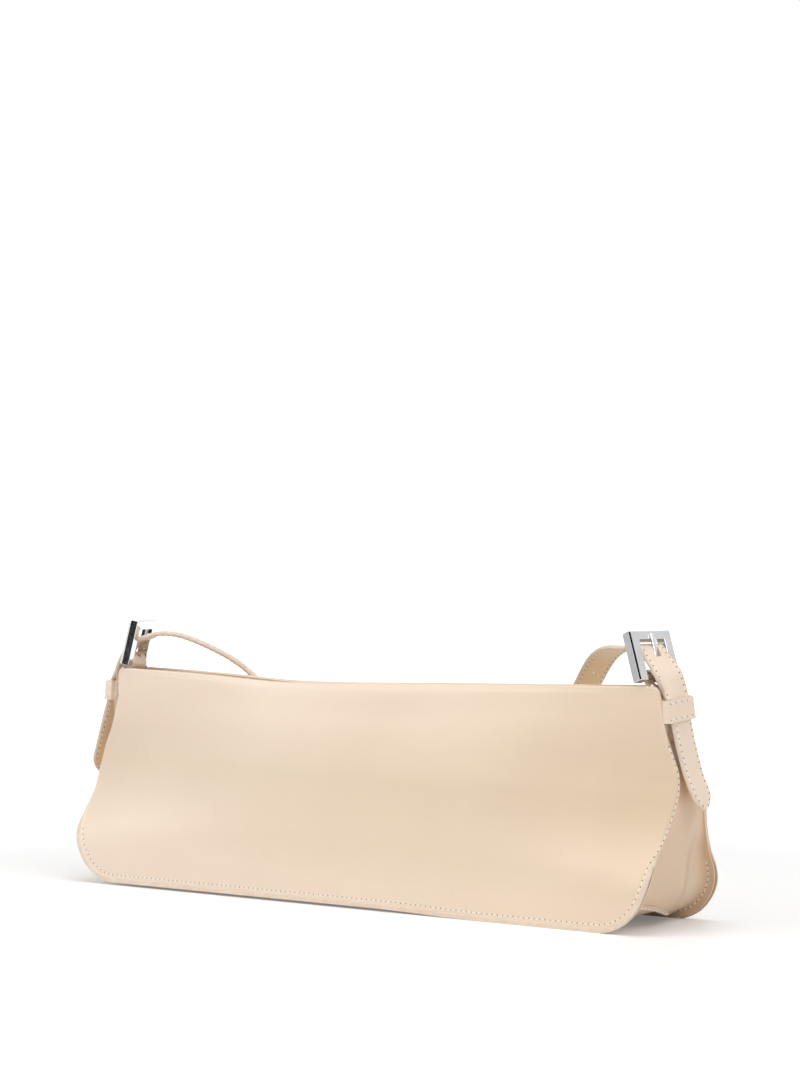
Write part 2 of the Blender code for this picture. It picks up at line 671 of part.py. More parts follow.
def prong_line():
    """The prong's middle line, up the frame and outwards: round the pin, then up to the frame's top bar."""
    bend = PIN_RADIUS + FIT + PRONG_THICKNESS / 2
    angles = [-PRONG_WRAP * (1 - step / PRONG_WRAP_STEPS) for step in range(PRONG_WRAP_STEPS + 1)]
    line = [Vector((bend * math.sin(angle), bend * math.cos(angle))) for angle in angles]
    tip_up = FRAME_HEIGHT - FRAME_BELOW_PIN - PRONG_TIP_BELOW_FRAME_TOP
    tip_out = FRAME_THICKNESS / 2 + FIT + PRONG_THICKNESS / 2
    return line + [Vector((tip_up * share, bend + (tip_out - bend) * share)) for share in PRONG_SHARES]


def prong(name, end):
    line = prong_line()
    outer, inner = [], []
    for index, place in enumerate(line):
        ahead = line[min(index + 1, len(line) - 1)] - line[max(index - 1, 0)]
        normal = Vector((-ahead.y, ahead.x)).normalized() * PRONG_THICKNESS / 2
        for rows, spot in ((outer, place + normal), (inner, place - normal)):
            rows.append([(-PRONG_WIDTH / 2, spot.x, spot.y), (PRONG_WIDTH / 2, spot.x, spot.y)])
    made = closed_sheet(name, outer, inner, STEEL)
    made.matrix_world = buckle_matrix(end)
    return made


def curve_through(points, step):
    """A smooth curve through the points, read at even steps along its length."""
    dense = []
    for index in range(len(points) - 1):
        before = points[max(index - 1, 0)]
        start, stop = points[index], points[index + 1]
        after = points[min(index + 2, len(points) - 1)]
        for part in range(CURVE_PARTS):
            t = part / CURVE_PARTS
            square = 2 * before - 5 * start + 4 * stop - after
            cube = 3 * start - before - 3 * stop + after
            dense.append((2 * start + (stop - before) * t + square * t ** 2 + cube * t ** 3) / 2)
    dense.append(points[-1])
    lengths = [0.0]
    for one, two in zip(dense, dense[1:]):
        lengths.append(lengths[-1] + (two - one).length)
    count = max(2, round(lengths[-1] / step))
    line, index = [], 0
    for number in range(count + 1):
        wanted = lengths[-1] * number / count
        while index < len(dense) - 2 and lengths[index + 1] < wanted:
            index += 1
        gap = lengths[index + 1] - lengths[index]
        line.append(dense[index].lerp(dense[index + 1], (wanted - lengths[index]) / gap if gap else 0.0))
    return line


def ribbon(name, line, sides, widths, thickness, kind, squared=()):
    """A flat strip along a line. sides are the directions of its width, one for each place on the line.
    The places whose numbers are in squared are cut square to X."""
    outer, inner = [], []
    last = len(line) - 1
    for index, place in enumerate(line):
        ahead = (line[min(index + 1, last)] - line[max(index - 1, 0)]).normalized()
        if index in squared:
            ahead = Vector((math.copysign(1.0, ahead.x), 0.0, 0.0))
        side = (sides[index] - ahead * sides[index].dot(ahead)).normalized()
        normal = ahead.cross(side) * thickness / 2
        half = side * widths[index] / 2
        outer.append([place - half + normal, place + half + normal])
        inner.append([place - half - normal, place + half - normal])
    return closed_sheet(name, outer, inner, kind)


def yaw_side(end, share):
    turn = BUCKLE_YAW * share
    return Vector((end["side"] * math.sin(turn), math.cos(turn), 0.0))


def twist(height):
    """The share of the buckle's yaw at a height: none at the keeper, all of it from the pin up."""
    still = KEEPER_CENTRE_HEIGHT + KEEPER_HEIGHT / 2 + STRAP_END_STEP
    return min(1.0, max(0.0, (height - still) / (PIN_HEIGHT - still)))


def chape(name, end):
    """Runs up the gusset's middle, round the buckle's pin and down again, with a slit for the prong."""
    side = end["side"]
    loop = PIN_RADIUS + FIT + CHAPE_LEATHER / 2
    apart = (CHAPE_LEATHER + SOFT_FIT) / 2
    keeper_core = end["keeper_out"] - KEEPER_DEPTH - SOFT_FIT - CHAPE_LEATHER / 2 - apart
    core = [(gusset_face(height) + SOFT_FIT + CHAPE_LEATHER / 2 + apart, height)
            for height in (CHAPE_FOOT_HEIGHT, CHAPE_SEWN_TOP)]
    core.append((keeper_core, KEEPER_CENTRE_HEIGHT))
    keeper_top = KEEPER_CENTRE_HEIGHT + KEEPER_HEIGHT / 2
    core.append((keeper_core + (end["pin_out"] - keeper_core) * CHAPE_TURN_SHARE, keeper_top))
    middle = curve_through([Vector((out, 0.0, height)) for out, height in core], STRAP_END_STEP)
    layers = ([], [])
    for index, place in enumerate(middle):
        ahead = (middle[min(index + 1, len(middle) - 1)] - middle[max(index - 1, 0)]).normalized()
        away = Vector((ahead.z, 0.0, -ahead.x)) * apart
        layers[0].append(place + away)
        layers[1].append(place - away)
    pin = Vector((end["pin_out"], 0.0, PIN_HEIGHT))
    flat = Vector((math.cos(BUCKLE_YAW), -math.sin(BUCKLE_YAW), 0.0))
    arc = []
    for step in range(CHAPE_LOOP_STEPS + 1):
        angle = CHAPE_WRAP_FROM + (CHAPE_WRAP_TO - CHAPE_WRAP_FROM) * step / CHAPE_LOOP_STEPS
        arc.append(pin + flat * loop * math.cos(angle) + Vector((0.0, 0.0, loop * math.sin(angle))))
    rise = curve_through([layers[0][-2], layers[0][-1], arc[0], arc[1]], STRAP_END_STEP)
    fall = curve_through([arc[-2], arc[-1], layers[1][-1], layers[1][-2]], STRAP_END_STEP)
    least = STRAP_END_STEP / 4
    rise = [place for place in rise if layers[0][-1].z + least < place.z < arc[0].z - least]
    fall = [place for place in fall if layers[1][-1].z + least < place.z < arc[-1].z - least]
    line = layers[0] + rise + arc + fall + list(reversed(layers[1]))
    line = [Vector((side * place.x, place.y, place.z)) for place in line]
    sides = [yaw_side(end, twist(place.z)) for place in line]
    made = ribbon(name, line, sides, [CHAPE_WIDTH] * len(line), CHAPE_LEATHER, LEATHER)
    slit = PRONG_WIDTH / 2 + FIT
    reach = loop + CHAPE_LEATHER
    room = box_corners((-slit, -reach, -reach), (slit, reach, reach))
    tool = cutter(mesh_from("slit_" + name, room, box_faces(0)))
    tool.matrix_world = buckle_matrix(end)
    apply_boolean(made, tool, "DIFFERENCE")
    return made


def keeper(name, end):
    """A loop sewn by its back to the chape. It widens past the panels' edges to take the strap's tail."""
    skin = KEEPER_LEATHER
    front = end["keeper_out"]
    back = front - KEEPER_DEPTH
    wide = STRAP_WIDTH / 2 + 2 * SOFT_FIT + skin
    narrow = KEEPER_NECK_HALF_WIDTH
    neck = front - KEEPER_SHOULDER_DEPTH
    quarter = [(back, 0.0), (back, narrow - skin), (back + skin, narrow), (neck, narrow),
               (neck + KEEPER_SHOULDER_STEP, wide), (front - KEEPER_CORNER, wide),
               (front, wide - KEEPER_CORNER), (front, 0.0)]
    outline = quarter + [(out, -y) for out, y in reversed(quarter[1:-1])]
    count = len(outline)
    outer, inner = [], []
    for index, (out, y) in enumerate(outline):
        before, after = outline[index - 1], outline[(index + 1) % count]
        inward = Vector((after[1] - before[1], before[0] - after[0])).normalized()
        for rows, depth in ((outer, 0.0), (inner, skin)):
            row = []
            for level in (-KEEPER_HEIGHT / 2, KEEPER_HEIGHT / 2):
                x = out + inward.x * depth - level * math.tan(KEEPER_LEAN) * (out - back) / KEEPER_DEPTH
                row.append((end["side"] * x, y + inward.y * depth, KEEPER_CENTRE_HEIGHT + level))
            rows.append(row)
    return closed_sheet(name, outer, inner, LEATHER, ring=True)


def strap_end(name, end):
    """The end that is threaded through the buckle and the keeper and hangs as a pointed tail."""
    side = end["side"]
    frame = buckle_matrix(end)
    join = Vector((side * STRAP_JOIN_AT, STRAP_AXIS_BACK, STRAP_AXIS_HEIGHT))
    threaded = [frame @ Vector((0.0, v * FRAME_HEIGHT, w * FRAME_HEIGHT)) for v, w in THREAD_SHARES]
    held = end["keeper_out"] - KEEPER_LEATHER - FIT - STRAP_THICKNESS / 2
    tail = [Vector((side * (held + out * TAIL_LENGTH), 0.0, KEEPER_CENTRE_HEIGHT - down * TAIL_LENGTH))
            for down, out in TAIL_SHARES]
    line = curve_through([join] + threaded + tail, STRAP_END_STEP)
    sides = [yaw_side(end, twist(place.z)) for place in line]
    sides[0] = Vector((0.0, 1.0, 0.0))
    to_tip, widths = 0.0, []
    for index in range(len(line) - 1, -1, -1):
        share = min(to_tip / STRAP_TIP_LENGTH, 1.0)
        point = math.sqrt(1 - (1 - share) ** 2)
        widths.insert(0, STRAP_WIDTH * (STRAP_TIP_BLUNT_SHARE + (1 - STRAP_TIP_BLUNT_SHARE) * point))
        if index:
            to_tip += (line[index] - line[index - 1]).length
    made = ribbon(name, line, sides, widths, STRAP_THICKNESS, LEATHER, squared=(0,))
    apply_boolean(made, prong_slot(end), "DIFFERENCE")
    return made


def prong_slot(end):
    """The room that the prong and its play need where it passes through the strap."""
    line = prong_line()
    low, high = line[-len(PRONG_SHARES)], line[-1]
    wide = PRONG_WIDTH / 2 + FIT
    thick = PRONG_THICKNESS / 2 + FIT
    places = ((low, PRONG_SHARES[0]), (high, PRONG_SHARES[-1]))
    points = [(u, spot.x, spot.y + grow) for u in (-wide, wide) for spot, play in places
              for grow in (-thick, thick + PRONG_PLAY * play)]
    tool = cutter(mesh_from("prong_slot", points, box_faces(0)))
    tool.matrix_world = buckle_matrix(end)
    return tool


def strap_span():
    """The long middle of the strap, which falls behind the bag and rests on the floor."""
    reach = STRAP_JOIN_AT - SWIVEL_SLIT
    route = [Vector((x * reach, y * STRAP_BEHIND, z * STRAP_AXIS_HEIGHT)) for x, y, z in SPAN_SHARES]
    route[0].z = route[-1].z = STRAP_AXIS_HEIGHT
    route[0].y = route[-1].y = STRAP_AXIS_BACK
    lowest = STRAP_THICKNESS / 2 + FIT
    for place in route:
        place.z = max(place.z, lowest)
    line = curve_through(route, STRAP_STEP)
    for place in line:
        place.z = max(place.z, lowest)
    sides = [Vector((0.0, 1.0, 0.0))] * len(line)
    made = ribbon("strap_span", line, sides, [STRAP_WIDTH] * len(line), STRAP_THICKNESS, LEATHER,
                  squared=(0, len(line) - 1))
    for number, share in enumerate(SPAN_HOLE_SHARES):
        index = round(share * (len(line) - 1))
        ahead = (line[index + 1] - line[index - 1]).normalized()
        normal = ahead.cross(Vector((0.0, 1.0, 0.0))).normalized()
        tool = cutter(rod_mesh("strap_hole_{}".format(number), line[index], normal, STRAP_HOLE_RADIUS,
                               2 * STRAP_THICKNESS, sides=8))
        apply_boolean(made, tool, "DIFFERENCE")
    return made


def main():
    for old in list(bpy.data.objects):
        bpy.data.objects.remove(old, do_unlink=True)
    panel("front_panel", -1)
    panel("back_panel", 1)
    gusset("gusset_left", -1)
    gusset("gusset_right", 1)
    base_panel()
    base_insides()
    lining()
    slip_pocket()
    zip_closure()
    zip_slider()
    zip_puller()
    for name, end in ENDS.items():
        buckle_frame("buckle_frame_" + name, end)
        pivot_bar("pivot_bar_" + name, end)
        prong("prong_" + name, end)
        chape("chape_" + name, end)
        keeper("keeper_" + name, end)
        strap_end("strap_end_" + name, end)
    strap_span()


main()
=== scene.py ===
"""The looks of the long leather shoulder bag: its sewn leather shell, the strap threaded through two polished
buckles, the zip and the lining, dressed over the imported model. Metres, +Z up, and -Y is the front."""

import math

import bmesh
import bpy
from mathutils import Matrix, Vector, noise

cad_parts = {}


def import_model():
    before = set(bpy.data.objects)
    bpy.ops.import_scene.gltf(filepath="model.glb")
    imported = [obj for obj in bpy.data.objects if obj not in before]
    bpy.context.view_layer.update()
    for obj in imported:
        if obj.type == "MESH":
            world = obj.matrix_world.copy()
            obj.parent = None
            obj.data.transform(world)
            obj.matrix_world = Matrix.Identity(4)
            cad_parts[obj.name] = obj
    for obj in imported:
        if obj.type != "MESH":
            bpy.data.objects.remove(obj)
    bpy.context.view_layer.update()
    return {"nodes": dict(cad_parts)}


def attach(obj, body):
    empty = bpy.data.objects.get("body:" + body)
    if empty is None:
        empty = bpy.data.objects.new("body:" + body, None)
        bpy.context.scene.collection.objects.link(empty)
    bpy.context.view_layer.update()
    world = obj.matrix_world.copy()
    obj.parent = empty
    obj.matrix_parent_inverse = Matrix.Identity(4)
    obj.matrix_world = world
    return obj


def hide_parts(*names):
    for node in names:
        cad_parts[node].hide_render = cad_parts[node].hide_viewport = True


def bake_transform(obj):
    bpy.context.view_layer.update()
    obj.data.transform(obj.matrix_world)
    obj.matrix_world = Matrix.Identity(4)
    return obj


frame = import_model()

MM = 0.001

# Sizes of the body, as in the part's source
BAG_HEIGHT = 125.0 * MM
WIDEST_HALF_LENGTH = 203.5 * MM
BASE_HALF_DEPTH = 38.0 * MM
CORNER_RADIUS = 30.0 * MM
TOP_SAG = 2.4 * MM
PANEL_LEATHER = 1.3 * MM
GUSSET_LEATHER = 0.9 * MM
FLANGE = 6.6 * MM
BASE_LIFT = 3.5 * MM
TOUCH = 0.08 * MM
EDGE_LENGTH_SHARES = (
    (0.0, 0.984), (0.24, 0.985), (0.4, 0.991), (0.56, 1.0), (0.64, 0.9936),
    (0.72, 0.9754), (0.8, 0.96), (0.88, 0.949), (1.0, 0.9366),
)
EDGE_DEPTH_SHARES = (
    (0.0, 1.0), (0.08, 0.997), (0.16, 0.971), (0.24, 0.879), (0.32, 0.724), (0.4, 0.574),
    (0.48, 0.455), (0.56, 0.36), (0.64, 0.288), (0.72, 0.268), (0.88, 0.268), (0.945, 0.288), (1.0, 0.31),
)
MIDDLE_DEPTH_SHARES = (
    (0.0, 1.0), (0.08, 1.0), (0.24, 0.947), (0.4, 0.842), (0.56, 0.71), (0.72, 0.553), (0.88, 0.395),
    (1.0, 0.29),
)
BOW_POWER = 2.6
SAG_POWER = 3
GUSSET_TOP_SHARE = 0.945
GUSSET_FOOT_SHARE = 0.021
GUSSET_BULGE = 1.5 * MM

# How the panels' edges turn round the ends: the strip of the panel that lies on the end face, by height
FRONT_WRAP_SHARES = ((0.0, 0.0), (0.25, 0.0), (0.34, 2.4), (0.44, 4.0), (0.6, 4.6), (0.7, 3.8), (0.78, 2.4),
                     (0.84, 0.3), (0.88, 0.0), (1.0, 0.0))
LEFT_WRAP_SHARES = ((0.0, 0.0), (0.48, 0.0), (0.54, 0.9), (0.65, 2.6), (0.72, 3.0), (0.79, 2.9), (0.84, 2.2),
                    (0.88, 1.0), (0.93, 0.0), (1.0, 0.0))
LEFT_SWELL_SHARES = ((0.0, -0.6), (0.1, -0.3), (0.18, 0.9), (0.24, 2.3), (0.32, 2.4), (0.38, 1.4), (0.45, 0.2),
                     (0.55, 0.0), (1.0, 0.0))
RIGHT_TUCK_SHARES = ((0.0, 1.2), (0.1, 2.4), (0.28, 2.6), (0.4, 1.2), (0.52, 0.0), (1.0, 0.0))
FOOT_LIFT = 1.7 * MM
TOP_DIP = 2.6 * MM
TOP_DIP_AT = -62.0 * MM
TOP_DIP_LEFT = 48.0 * MM
TOP_DIP_RIGHT = 85.0 * MM
NEAR_RECESS_SHARES = ((0.0, 4.5), (0.1, 4.6), (0.2, 5.0), (0.44, 3.0), (0.62, 3.0), (0.75, 4.2), (1.0, 4.2))
FAR_RECESS_SHARES = ((0.0, 4.6), (0.1, 4.8), (0.22, 5.0), (0.32, 3.8), (0.40, 1.5), (0.5, 0.8), (0.62, 0.8),
                     (0.75, 4.2), (1.0, 4.2))
FAR_SEAM_INSET = 3.7 * MM
FAR_SEAM_TOP = 33.0 * MM
LAP_TURNS = ((-1.0, 34.0), (-0.68, 37.0), (-0.24, 44.0), (0.3, 60.0), (0.7, 76.0), (1.0, 84.0))
LAP_UNDER = 2.6 * MM
LAP_WIDTH = 3.2 * MM
LAP_FOLD = 3.6 * MM
LAP_REACH = 34.0 * MM
WRAP_TURN = math.radians(84.0)
WRAP_RADIUS = 1.0 * MM
TOP_CORNERS = {1: 3.0 * MM, -1: 1.3 * MM}
BAND = 2.1 * MM
BAND_PROUD = 0.5 * MM
KICK = 0.9 * MM
KICK_REACH = 6.0 * MM
STITCH_INSET = 1.9 * MM
STITCH_PITCH = 3.4 * MM
HEM_TURN = 0.7 * MM

# Strap, buckles, keepers and chapes
STRAP_WIDTH = 15.0 * MM
STRAP_THICKNESS = 2.4 * MM
STRAP_TIP_LENGTH = 10.5 * MM
STRAP_TIP_BLUNT_SHARE = 0.1
STRAP_JOIN_AT = 166.0 * MM
STRAP_BEHIND = 47.0 * MM
STRAP_STITCH_INSET = 1.9 * MM
STRAP_HOLE_RADIUS = 1.3 * MM
TAIL_LENGTH = 52.0 * MM
FRAME_WIDTH = 28.0 * MM
FRAME_HEIGHT = 27.0 * MM
FRAME_THICKNESS = 4.5 * MM
FRAME_FRONT = 2.5 * MM
FRAME_SIDE = 5.5 * MM
FRAME_TOP = 5.0 * MM
FRAME_BELOW_PIN = 2.2 * MM
PIN_RADIUS = 1.6 * MM
PIN_SEAT = 3.0 * MM
PIN_HEIGHT = 130.3 * MM
PRONG_WIDTH = 2.8 * MM
PRONG_THICKNESS = 1.3 * MM
PRONG_TIP_BELOW_FRAME_TOP = 2.2 * MM
FIT = 0.35 * MM
SOFT_FIT = 0.5 * MM
BUCKLE_YAW = math.radians(17.0)
CHAPE_WIDTH = 14.0 * MM
CHAPE_LEATHER = 1.5 * MM
CHAPE_FOOT_EXTRA = 4.4 * MM
CHAPE_FOOT_HEIGHT = 97.0 * MM
CHAPE_SEWN_TOP = 104.0 * MM
CHAPE_TURN_SHARE = 0.25
CHAPE_WRAP_FROM = math.radians(12.0)
CHAPE_WRAP_TO = math.radians(206.0)
KEEPER_HEIGHT = 11.6 * MM
KEEPER_LEATHER = 1.0 * MM
KEEPER_DEPTH = 8.2 * MM
KEEPER_CENTRE_HEIGHT = 114.0 * MM
KEEPER_NECK_HALF_WIDTH = 6.8 * MM
KEEPER_SHOULDER_DEPTH = 6.4 * MM
KEEPER_LEAN = math.radians(9.0)
STRAP_END_STEP = 3.0 * MM
SPAN_HOLES_AT = (-151.0, -129.0, 129.0, 151.0)
ENDS = {
    "right": {
        "side": 1, "pin_out": 183.4 * MM, "keeper_out": 199.2 * MM, "keeper_yaw": math.radians(10.0),
        "keeper_extra": 0.6 * MM, "keeper_lean": math.radians(10.5), "keeper_tilt": 0.12, "keeper_height": 113.6 * MM,
        "frame_back": 3.6 * MM, "frame_chamfer": 0.8 * MM, "chape_extra": 0.0,
        "lean": math.radians(20.5), "chape_yaw": ((97, 9), (107, 9), (121, 13), (129, 18), (140, 18)),
        # out, back, height and yaw of the width, in mm and degrees, from the middle of the span to the tip
        "strap": ((0, 48, 3.2, 0), (20, 48, 5.8, 0), (46, 47.5, 17, 0), (67, 45.5, 43, 2), (83, 42, 70, 6),
                  (97, 36.5, 92, 13), (108, 31, 107, 26), (118, 26.5, 118.2, 42), (126.5, 22.4, 127.6, 49),
                  (133, 19, 134.4, 52), (140, 15.6, 139.8, 53), (148, 11.8, 143.3, 51), (156, 8.2, 144.6, 46),
                  (165.6, 4.4, 144.6, 39), (171.5, 2.2, 145.3, 33), (175.0, 1.0, 145.8, 29), (177.5, 0.3, 145.7, 28),
                  (179.8, 0.0, 144.5, 31), (182.4, -0.5, 141.4, 35), (187.4, -1.2, 136.0, 39), (190.9, -1.0, 131.0, 42),
                  (193.2, -0.5, 125.2, 35), (194.9, 0, 120.4, 24), (195.9, 0, 117, 17), (196.5, 0, 111.5, 12),
                  (198.0, 0, 106.5, 10), (200.5, 0, 96, 9), (205.2, 0, 80.4, 9), (209.6, 0, 70.5, 9),
                  (212.4, 0, 61.9, 9)),
        "chape_up": ((193.4, 97), (193.35, 104.5), (193.2, 114), (192.9, 119.6), (192.5, 124.6), (190.6, 128.8),
                     (187.3, 131.9)),
        "chape_arc": (58.0, 82.0, 106.0, 130.0, 154.0, 178.0, 200.0),
        "chape_down": ((182.6, 126.4), (186.3, 124.2), (189.6, 121.3), (191.1, 117), (191.6, 112), (191.7, 104.5),
                       (191.8, 97)),
    },
    "left": {
        "side": -1, "pin_out": 190.0 * MM, "keeper_out": 204.9 * MM, "keeper_yaw": 0.0,
        "keeper_extra": 0.0, "keeper_lean": math.radians(8.0), "keeper_tilt": 0.0, "keeper_height": 112.1 * MM,
        "frame_back": 4.2 * MM, "frame_chamfer": 2.3 * MM, "chape_extra": 2.4 * MM,
        "lean": math.radians(14.0), "chape_yaw": ((97, 0), (121, 4), (129, 15), (140, 17)),
        "strap": ((0, 48, 3.2, 0), (20, 48, 5.2, 0), (44, 47.5, 14, 0), (63, 46, 37, 2), (78, 42.8, 62, 6),
                  (91, 38.5, 84, 12), (102, 35.5, 100, 22), (112, 33.5, 112.2, 33), (121.3, 31.2, 121.2, 37.9),
                  (127.5, 27.6, 127.4, 37.9), (134.7, 23.2, 132.9, 37.9), (145.9, 16, 139.6, 37.9),
                  (157.2, 8.6, 144.8, 37.9), (164.5, 4.2, 146.3, 37.9), (171.0, 1.4, 146.1, 35), (177, 0.4, 144.5, 28),
                  (181, 0, 143.2, 22), (185, 0, 142.5, 18), (189, 0, 140.4, 17), (193.7, 0, 134.6, 17),
                  (196.9, 0, 129.6, 14), (198.8, 0, 123.6, 7), (200.9, 0, 118.4, 2), (202.3, 0, 114, 0),
                  (203.3, 0, 108.3, 0), (205.8, 0, 101, 0), (210.1, 0, 88, 0), (215.3, 0, 71.9, 0),
                  (217.9, 0, 62.0, 0)),
        "chape_up": ((196.4, 97), (196.5, 104.5), (197.0, 114), (197.4, 119.6), (197.2, 124.6), (195.8, 129.6),
                     (193.6, 132.8)),
        "chape_arc": (),
        "chape_down": ((190.6, 134.0), (187.4, 133.4), (185.3, 131.0), (184.9, 128.0), (186.4, 125.0), (189.7, 122.6),
                       (193.2, 119.8), (195.0, 116.4), (195.3, 112), (194.9, 104.5), (194.8, 97)),
    },
}

# Zip
ZIP_HEIGHT = 112.6 * MM
ZIP_HALF_LENGTH = 170.0 * MM
TAPE_THICKNESS = 1.0 * MM
TAPE_OVERHANG = 8.0 * MM
CHAIN_WIDTH = 2.2 * MM
CHAIN_THICKNESS = 2.4 * MM
CHAIN_PARTING = 1.0 * MM


# Camera, floor and light ---------------------------------------------------------------------------------
def camera():
    data = bpy.data.cameras.new("camera")
    data.lens = 2846.0 / 1068.0 * 36.0
    data.sensor_width = 36.0
    data.sensor_fit = "AUTO"
    data.clip_end = 20.0
    made = bpy.data.objects.new("camera", data)
    bpy.context.collection.objects.link(made)
    azimuth, elevation, distance = math.radians(37.9), math.radians(-0.32), 1.587
    target = Vector((0.0134, 0.0, 0.2051))
    back = Vector((math.sin(azimuth) * math.cos(elevation), -math.cos(azimuth) * math.cos(elevation),
                   math.sin(elevation)))
    made.location = target + back * distance
    made.rotation_euler = back.to_track_quat("Z", "Y").to_euler()
    bpy.context.scene.camera = made


camera()


# Node helpers -------------------------------------------------------------------------------------------
class Shader:
    """A material under construction: makes nodes, links them, and sets the Principled shader's inputs."""

    def __init__(self, name):
        self.material = bpy.data.materials.new(name)
        self.material.use_nodes = True
        self.tree = self.material.node_tree
        self.principled = self.tree.nodes["Principled BSDF"]
        self.place = self.node("ShaderNodeTexCoord").outputs["Object"]

    def node(self, kind, **settings):
        made = self.tree.nodes.new(kind)
        for key, value in settings.items():
            if key in made.inputs:
                made.inputs[key].default_value = value
            else:
                setattr(made, key, value)
        return made

    def link(self, source, target):
        self.tree.links.new(source, target)

    def set(self, **values):
        for key, value in values.items():
            self.principled.inputs[key.replace("_", " ")].default_value = value

    def noise(self, scale, detail=2.0, roughness=0.5, stretch=None):
        made = self.node("ShaderNodeTexNoise", Scale=scale, Detail=detail, Roughness=roughness)
        self.link(self.stretched(stretch), made.inputs["Vector"])
        return made.outputs["Fac"]

    def stretched(self, stretch):
        if stretch is None:
            return self.place
        mapping = self.node("ShaderNodeMapping")
        mapping.inputs["Scale"].default_value = stretch
        self.link(self.place, mapping.inputs["Vector"])
        return mapping.outputs["Vector"]

    def cells(self, scale, stretch=None, feature="DISTANCE_TO_EDGE"):
        made = self.node("ShaderNodeTexVoronoi", Scale=scale)
        made.feature = feature
        self.link(self.stretched(stretch), made.inputs["Vector"])
        return made.outputs["Distance"]

    def ramp(self, source, stops):
        made = self.node("ShaderNodeValToRGB")
        elements = made.color_ramp.elements
        while len(elements) < len(stops):
            elements.new(0.5)
        for element, (place, colour) in zip(elements, stops):
            element.position = place
            element.color = (*colour, 1.0)
        self.link(source, made.inputs["Fac"])
        return made.outputs["Color"]

    def span(self, source, low, high, start=0.0, stop=1.0):
        made = self.node("ShaderNodeMapRange")
        for key, value in (("From Min", start), ("From Max", stop), ("To Min", low), ("To Max", high)):
            made.inputs[key].default_value = value
        self.link(source, made.inputs["Value"])
        return made.outputs["Result"]

    def maths(self, operation, one, two):
        made = self.node("ShaderNodeMath")
        made.operation = operation
        for socket, value in zip(made.inputs, (one, two)):
            if isinstance(value, float):
                socket.default_value = value
            else:
                self.link(value, socket)
        return made.outputs["Value"]

    def tinted(self, one, two):
        made = self.node("ShaderNodeMix")
        made.data_type, made.blend_type = "RGBA", "MULTIPLY"
        made.inputs["Factor"].default_value = 1.0
        self.link(one, made.inputs["A"])
        self.link(two, made.inputs["B"])
        return made.outputs["Result"]

    def colour(self, source):
        self.link(source, self.principled.inputs["Base Color"])

    def rough(self, source):
        self.link(source, self.principled.inputs["Roughness"])

    def bump(self, source, height, strength=1.0):
        made = self.node("ShaderNodeBump", Strength=strength, Distance=height)
        self.link(source, made.inputs["Height"])
        previous = self.principled.inputs["Normal"]
        if previous.is_linked:
            self.link(previous.links[0].from_socket, made.inputs["Normal"])
        self.link(made.outputs["Normal"], previous)


def leather(name, light, dark, roughness=0.36, grain=0.05, painted_light=False):
    """Smooth finished calf: slow tone changes, fine pores and creases, and a soft semi-gloss top coat. When asked, its
    colour also carries painted light: a painted sheen, lighter towards the top and the foot and darker at mid height,
    and painted shade, warmer and darker towards the right end.
    """
    shader = Shader(name)
    slow = shader.noise(11.0, 2.0, 0.45)
    fine = shader.noise(160.0, 3.0, 0.6)
    tone = shader.maths("ADD", shader.maths("MULTIPLY", slow, 0.8), shader.maths("MULTIPLY", fine, 0.2))
    colour = shader.ramp(tone, ((0.3, dark), (0.7, light)))
    # Painted light: the colour is multiplied by a painted sheen by height and a painted shade along the length.
    if painted_light:
        parts = shader.node("ShaderNodeSeparateXYZ")
        shader.link(shader.place, parts.inputs[0])
        wander = shader.span(shader.noise(7.0, 2.0, 0.4), -0.016, 0.016)
        height = shader.maths("ADD", parts.outputs["Z"], wander)
        colour = shader.tinted(colour, shader.ramp(shader.span(height, 0.0, 1.0, 0.0, 0.125), SHEEN_PAINT_BY_HEIGHT))
        along = shader.maths("ADD", parts.outputs["X"], wander)
        colour = shader.tinted(colour, shader.ramp(shader.span(along, 0.0, 1.0, -0.2, 0.2), SHADE_PAINT_ALONG))
    shader.colour(colour)
    shader.rough(shader.span(shader.noise(90.0, 3.0, 0.6), roughness - 0.05, roughness + 0.07))
    shader.bump(shader.noise(420.0, 3.0, 0.6), 0.05 * MM, 0.5)
    shader.bump(shader.cells(1500.0), grain * MM, 0.6)
    shader.set(Specular_IOR_Level=0.5, Coat_Weight=0.25, Coat_Roughness=0.24)
    return shader.material


# Painted sheen by height, over 0 to 125 mm up the panel: lighter towards the top and the foot, darker at mid height.
SHEEN_PAINT_BY_HEIGHT = ((0.0, (1.0, 1.0, 1.0)), (0.14, (1.0, 1.0, 0.99)), (0.32, (0.93, 0.92, 0.88)), (0.55, (0.86, 0.845, 0.785)),
            (0.7, (0.9, 0.885, 0.84)), (0.92, (0.985, 0.98, 0.97)))
# Painted shade along the length, from -200 to +200 mm: warmer and darker towards the right end, away from the key lamp.
SHADE_PAINT_ALONG = ((0.0, (1.0, 1.0, 1.0)), (0.3, (0.995, 0.995, 0.99)), (0.7, (0.99, 0.975, 0.94)), (1.0, (1.0, 0.97, 0.9)))


def edge_paint():
    shader = Shader("edge_paint")
    tone = shader.noise(240.0, 3.0, 0.6)
    shader.colour(shader.ramp(tone, ((0.3, (0.76, 0.60, 0.47)), (0.75, (0.86, 0.72, 0.58)))))
    shader.rough(shader.span(shader.noise(500.0, 2.0), 0.34, 0.5))
    shader.bump(shader.noise(900.0, 2.0), 0.06 * MM, 0.6)
    return shader.material


def thread():
    """Bonded sewing thread: the twist of its plies shows as fine slanted ridges."""
    shader = Shader("thread")
    twist = shader.node("ShaderNodeTexWave", Scale=900.0, Distortion=1.0)
    twist.bands_direction = "DIAGONAL"
    shader.link(shader.place, twist.inputs["Vector"])
    shader.colour(shader.ramp(twist.outputs["Fac"], ((0.2, (0.92, 0.83, 0.7)), (0.8, (0.98, 0.93, 0.85)))))
    shader.rough(shader.span(twist.outputs["Fac"], 0.5, 0.66))
    shader.bump(twist.outputs["Fac"], 0.05 * MM)
    return shader.material
